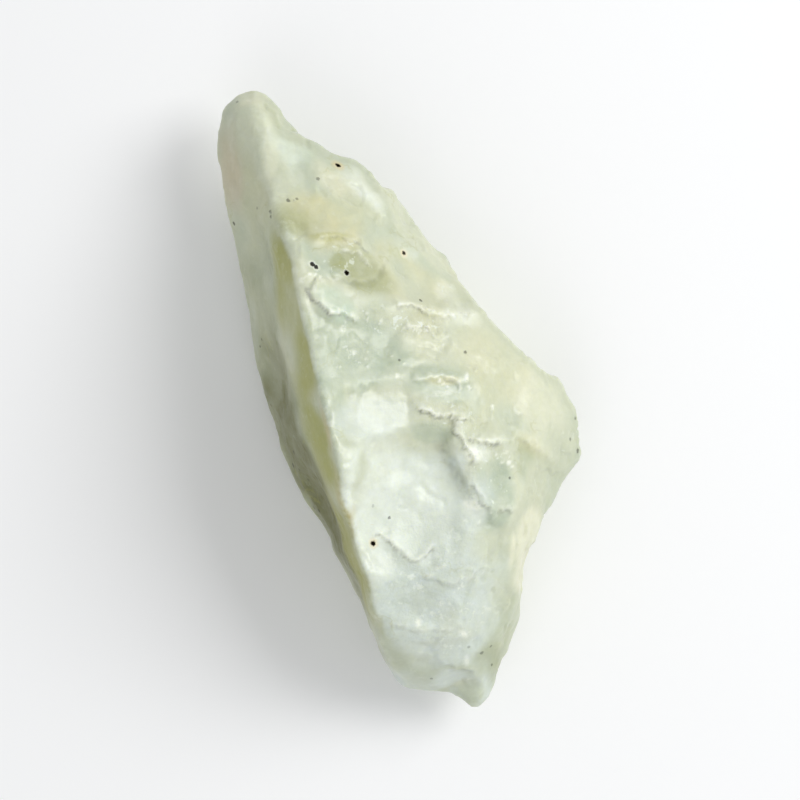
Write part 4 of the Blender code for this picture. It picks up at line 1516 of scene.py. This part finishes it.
    def write_zones(self, skin: bpy.types.Object, zones: list[Zone]) -> None:
        """Writes the zones as point attributes.

        Args:
            skin: The object.
            zones: Which zones to write.
        """
        points = self.points(skin)
        stray = stray_at(points, self.zone_length_mm)
        upward = np.empty(len(points), dtype=np.float32)
        skin.data.attributes["upward"].data.foreach_get("value", upward)
        for zone in zones:
            cover = np.zeros(len(points))
            for patch in UPPER_ZONES.get(zone, []):
                cover = np.maximum(cover, patch.cover(points, stray) * upward)
            for patch in SIDE_ZONES.get(zone, []):
                cover = np.maximum(cover, patch.cover(points, self.side_stray * stray) * (1.0 - upward))
            self.write_attribute(skin, zone.value, cover)

    def write_edges(self, skin: bpy.types.Object) -> None:
        """Writes how far each point stands above its surroundings, or below them.

        Args:
            skin: The object.
        """
        points = self.points(skin)
        offset = points - self.smoothed(skin, points, self.edge_rounds)
        height = (offset * self.normals(skin)).sum(axis=1)
        self.write_attribute(skin, "edge", self.smoothed(skin, height[:, None], 1)[:, 0])

    def write_attribute(self, skin: bpy.types.Object, name: str, values: np.ndarray) -> None:
        """Writes one number or one vector for each point.

        Args:
            skin: The object.
            name: The attribute's name.
            values: The numbers, or the vectors as rows.
        """
        kind, field_name = ("FLOAT", "value") if values.ndim == 1 else ("FLOAT_VECTOR", "vector")
        layer = skin.data.attributes.get(name) or skin.data.attributes.new(name, kind, "POINT")
        layer.data.foreach_set(field_name, values.astype(np.float32).ravel())


@dataclass
class Studio:
    """A plain pale floor, soft lights and the camera straight above.

    Attributes:
        floor_half_m: Half the floor's side.
        lens_mm: The camera's focal length.
        sensor_mm: The width of its sensor.
        view_height_m: How much of the floor's plane the picture shows from top to bottom.
        centre_m: What the camera looks at.
        lights: Each light's name, its place and the side of its square face in metres, and its watts.
        sky: The strength of the pale surroundings.
        sky_colour: Their colour, as the shader takes it.
    """

    floor_half_m: float = 1.5
    lens_mm: float = 200.0
    sensor_mm: float = 36.0
    view_height_m: float = 0.0605
    centre_m: tuple[float, float, float] = (0.0, 0.0, 0.009)
    lights: tuple[tuple[str, tuple[float, float, float], float, float], ...] = (
        ("key_light", (0.27, 0.12, 0.27), 0.22, 0.95),
        ("fill_light", (-0.10, -0.30, 0.28), 0.30, 0.22),
    )
    sky: float = 0.56
    sky_colour: tuple[float, float, float, float] = (0.97, 0.985, 1.0, 1.0)

    def build(self) -> None:
        """Makes the floor, the lights, the surroundings and the camera."""
        self.floor()
        for light in self.lights:
            self.light(*light)
        self.surroundings()
        self.camera()
        bpy.context.scene.view_settings.view_transform = "Standard"

    def floor(self) -> None:
        """Makes the floor and its near-white finish."""
        half = self.floor_half_m
        mesh = bpy.data.meshes.new("studio_floor")
        corners = [(-half, -half, 0.0), (half, -half, 0.0), (half, half, 0.0), (-half, half, 0.0)]
        mesh.from_pydata(corners, [], [(0, 1, 2, 3)])
        floor = bpy.data.objects.new("studio_floor", mesh)
        bpy.context.scene.collection.objects.link(floor)
        material = bpy.data.materials.new("pale_floor")
        material.use_nodes = True
        shader = material.node_tree.nodes["Principled BSDF"]
        shader.inputs["Base Color"].default_value = Tone.FLOOR.linear
        shader.inputs["Roughness"].default_value = 1.0
        shader.inputs["Specular IOR Level"].default_value = 0.0
        mesh.materials.append(material)

    def light(self, name: str, place: tuple[float, float, float], size: float, power: float) -> None:
        """Makes one soft light that points at the stone.

        Args:
            name: Its name.
            place: Where it stands, in metres.
            size: The side of its square face.
            power: Its power, in watts.
        """
        data = bpy.data.lights.new(name, "AREA")
        data.energy = power
        data.size = size
        lamp = bpy.data.objects.new(name, data)
        lamp.location = place
        towards = Vector(self.centre_m) - Vector(place)
        lamp.rotation_euler = towards.to_track_quat("-Z", "Y").to_euler()
        bpy.context.scene.collection.objects.link(lamp)

    def surroundings(self) -> None:
        """Makes the pale, even surroundings."""
        world = bpy.data.worlds.new("pale_room")
        world.use_nodes = True
        backdrop = world.node_tree.nodes["Background"]
        backdrop.inputs["Color"].default_value = self.sky_colour
        backdrop.inputs["Strength"].default_value = self.sky
        bpy.context.scene.world = world

    def camera(self) -> None:
        """Makes the camera, which looks straight down with +Y upwards in the picture."""
        data = bpy.data.cameras.new("overhead_camera")
        data.lens = self.lens_mm
        data.sensor_width = self.sensor_mm
        data.clip_start = 0.001
        camera = bpy.data.objects.new("overhead_camera", data)
        away = self.view_height_m * self.lens_mm / self.sensor_mm
        camera.location = Vector(self.centre_m) + Vector((0.0, 0.0, away))
        bpy.context.scene.collection.objects.link(camera)
        bpy.context.scene.camera = camera


def main() -> None:
    """Builds the stone and its studio."""
    logging.basicConfig(level=logging.INFO, format="%(name)s: %(message)s")
    Studio().build()
    BrokenStone().build()


if __name__ == "__main__":
    main()
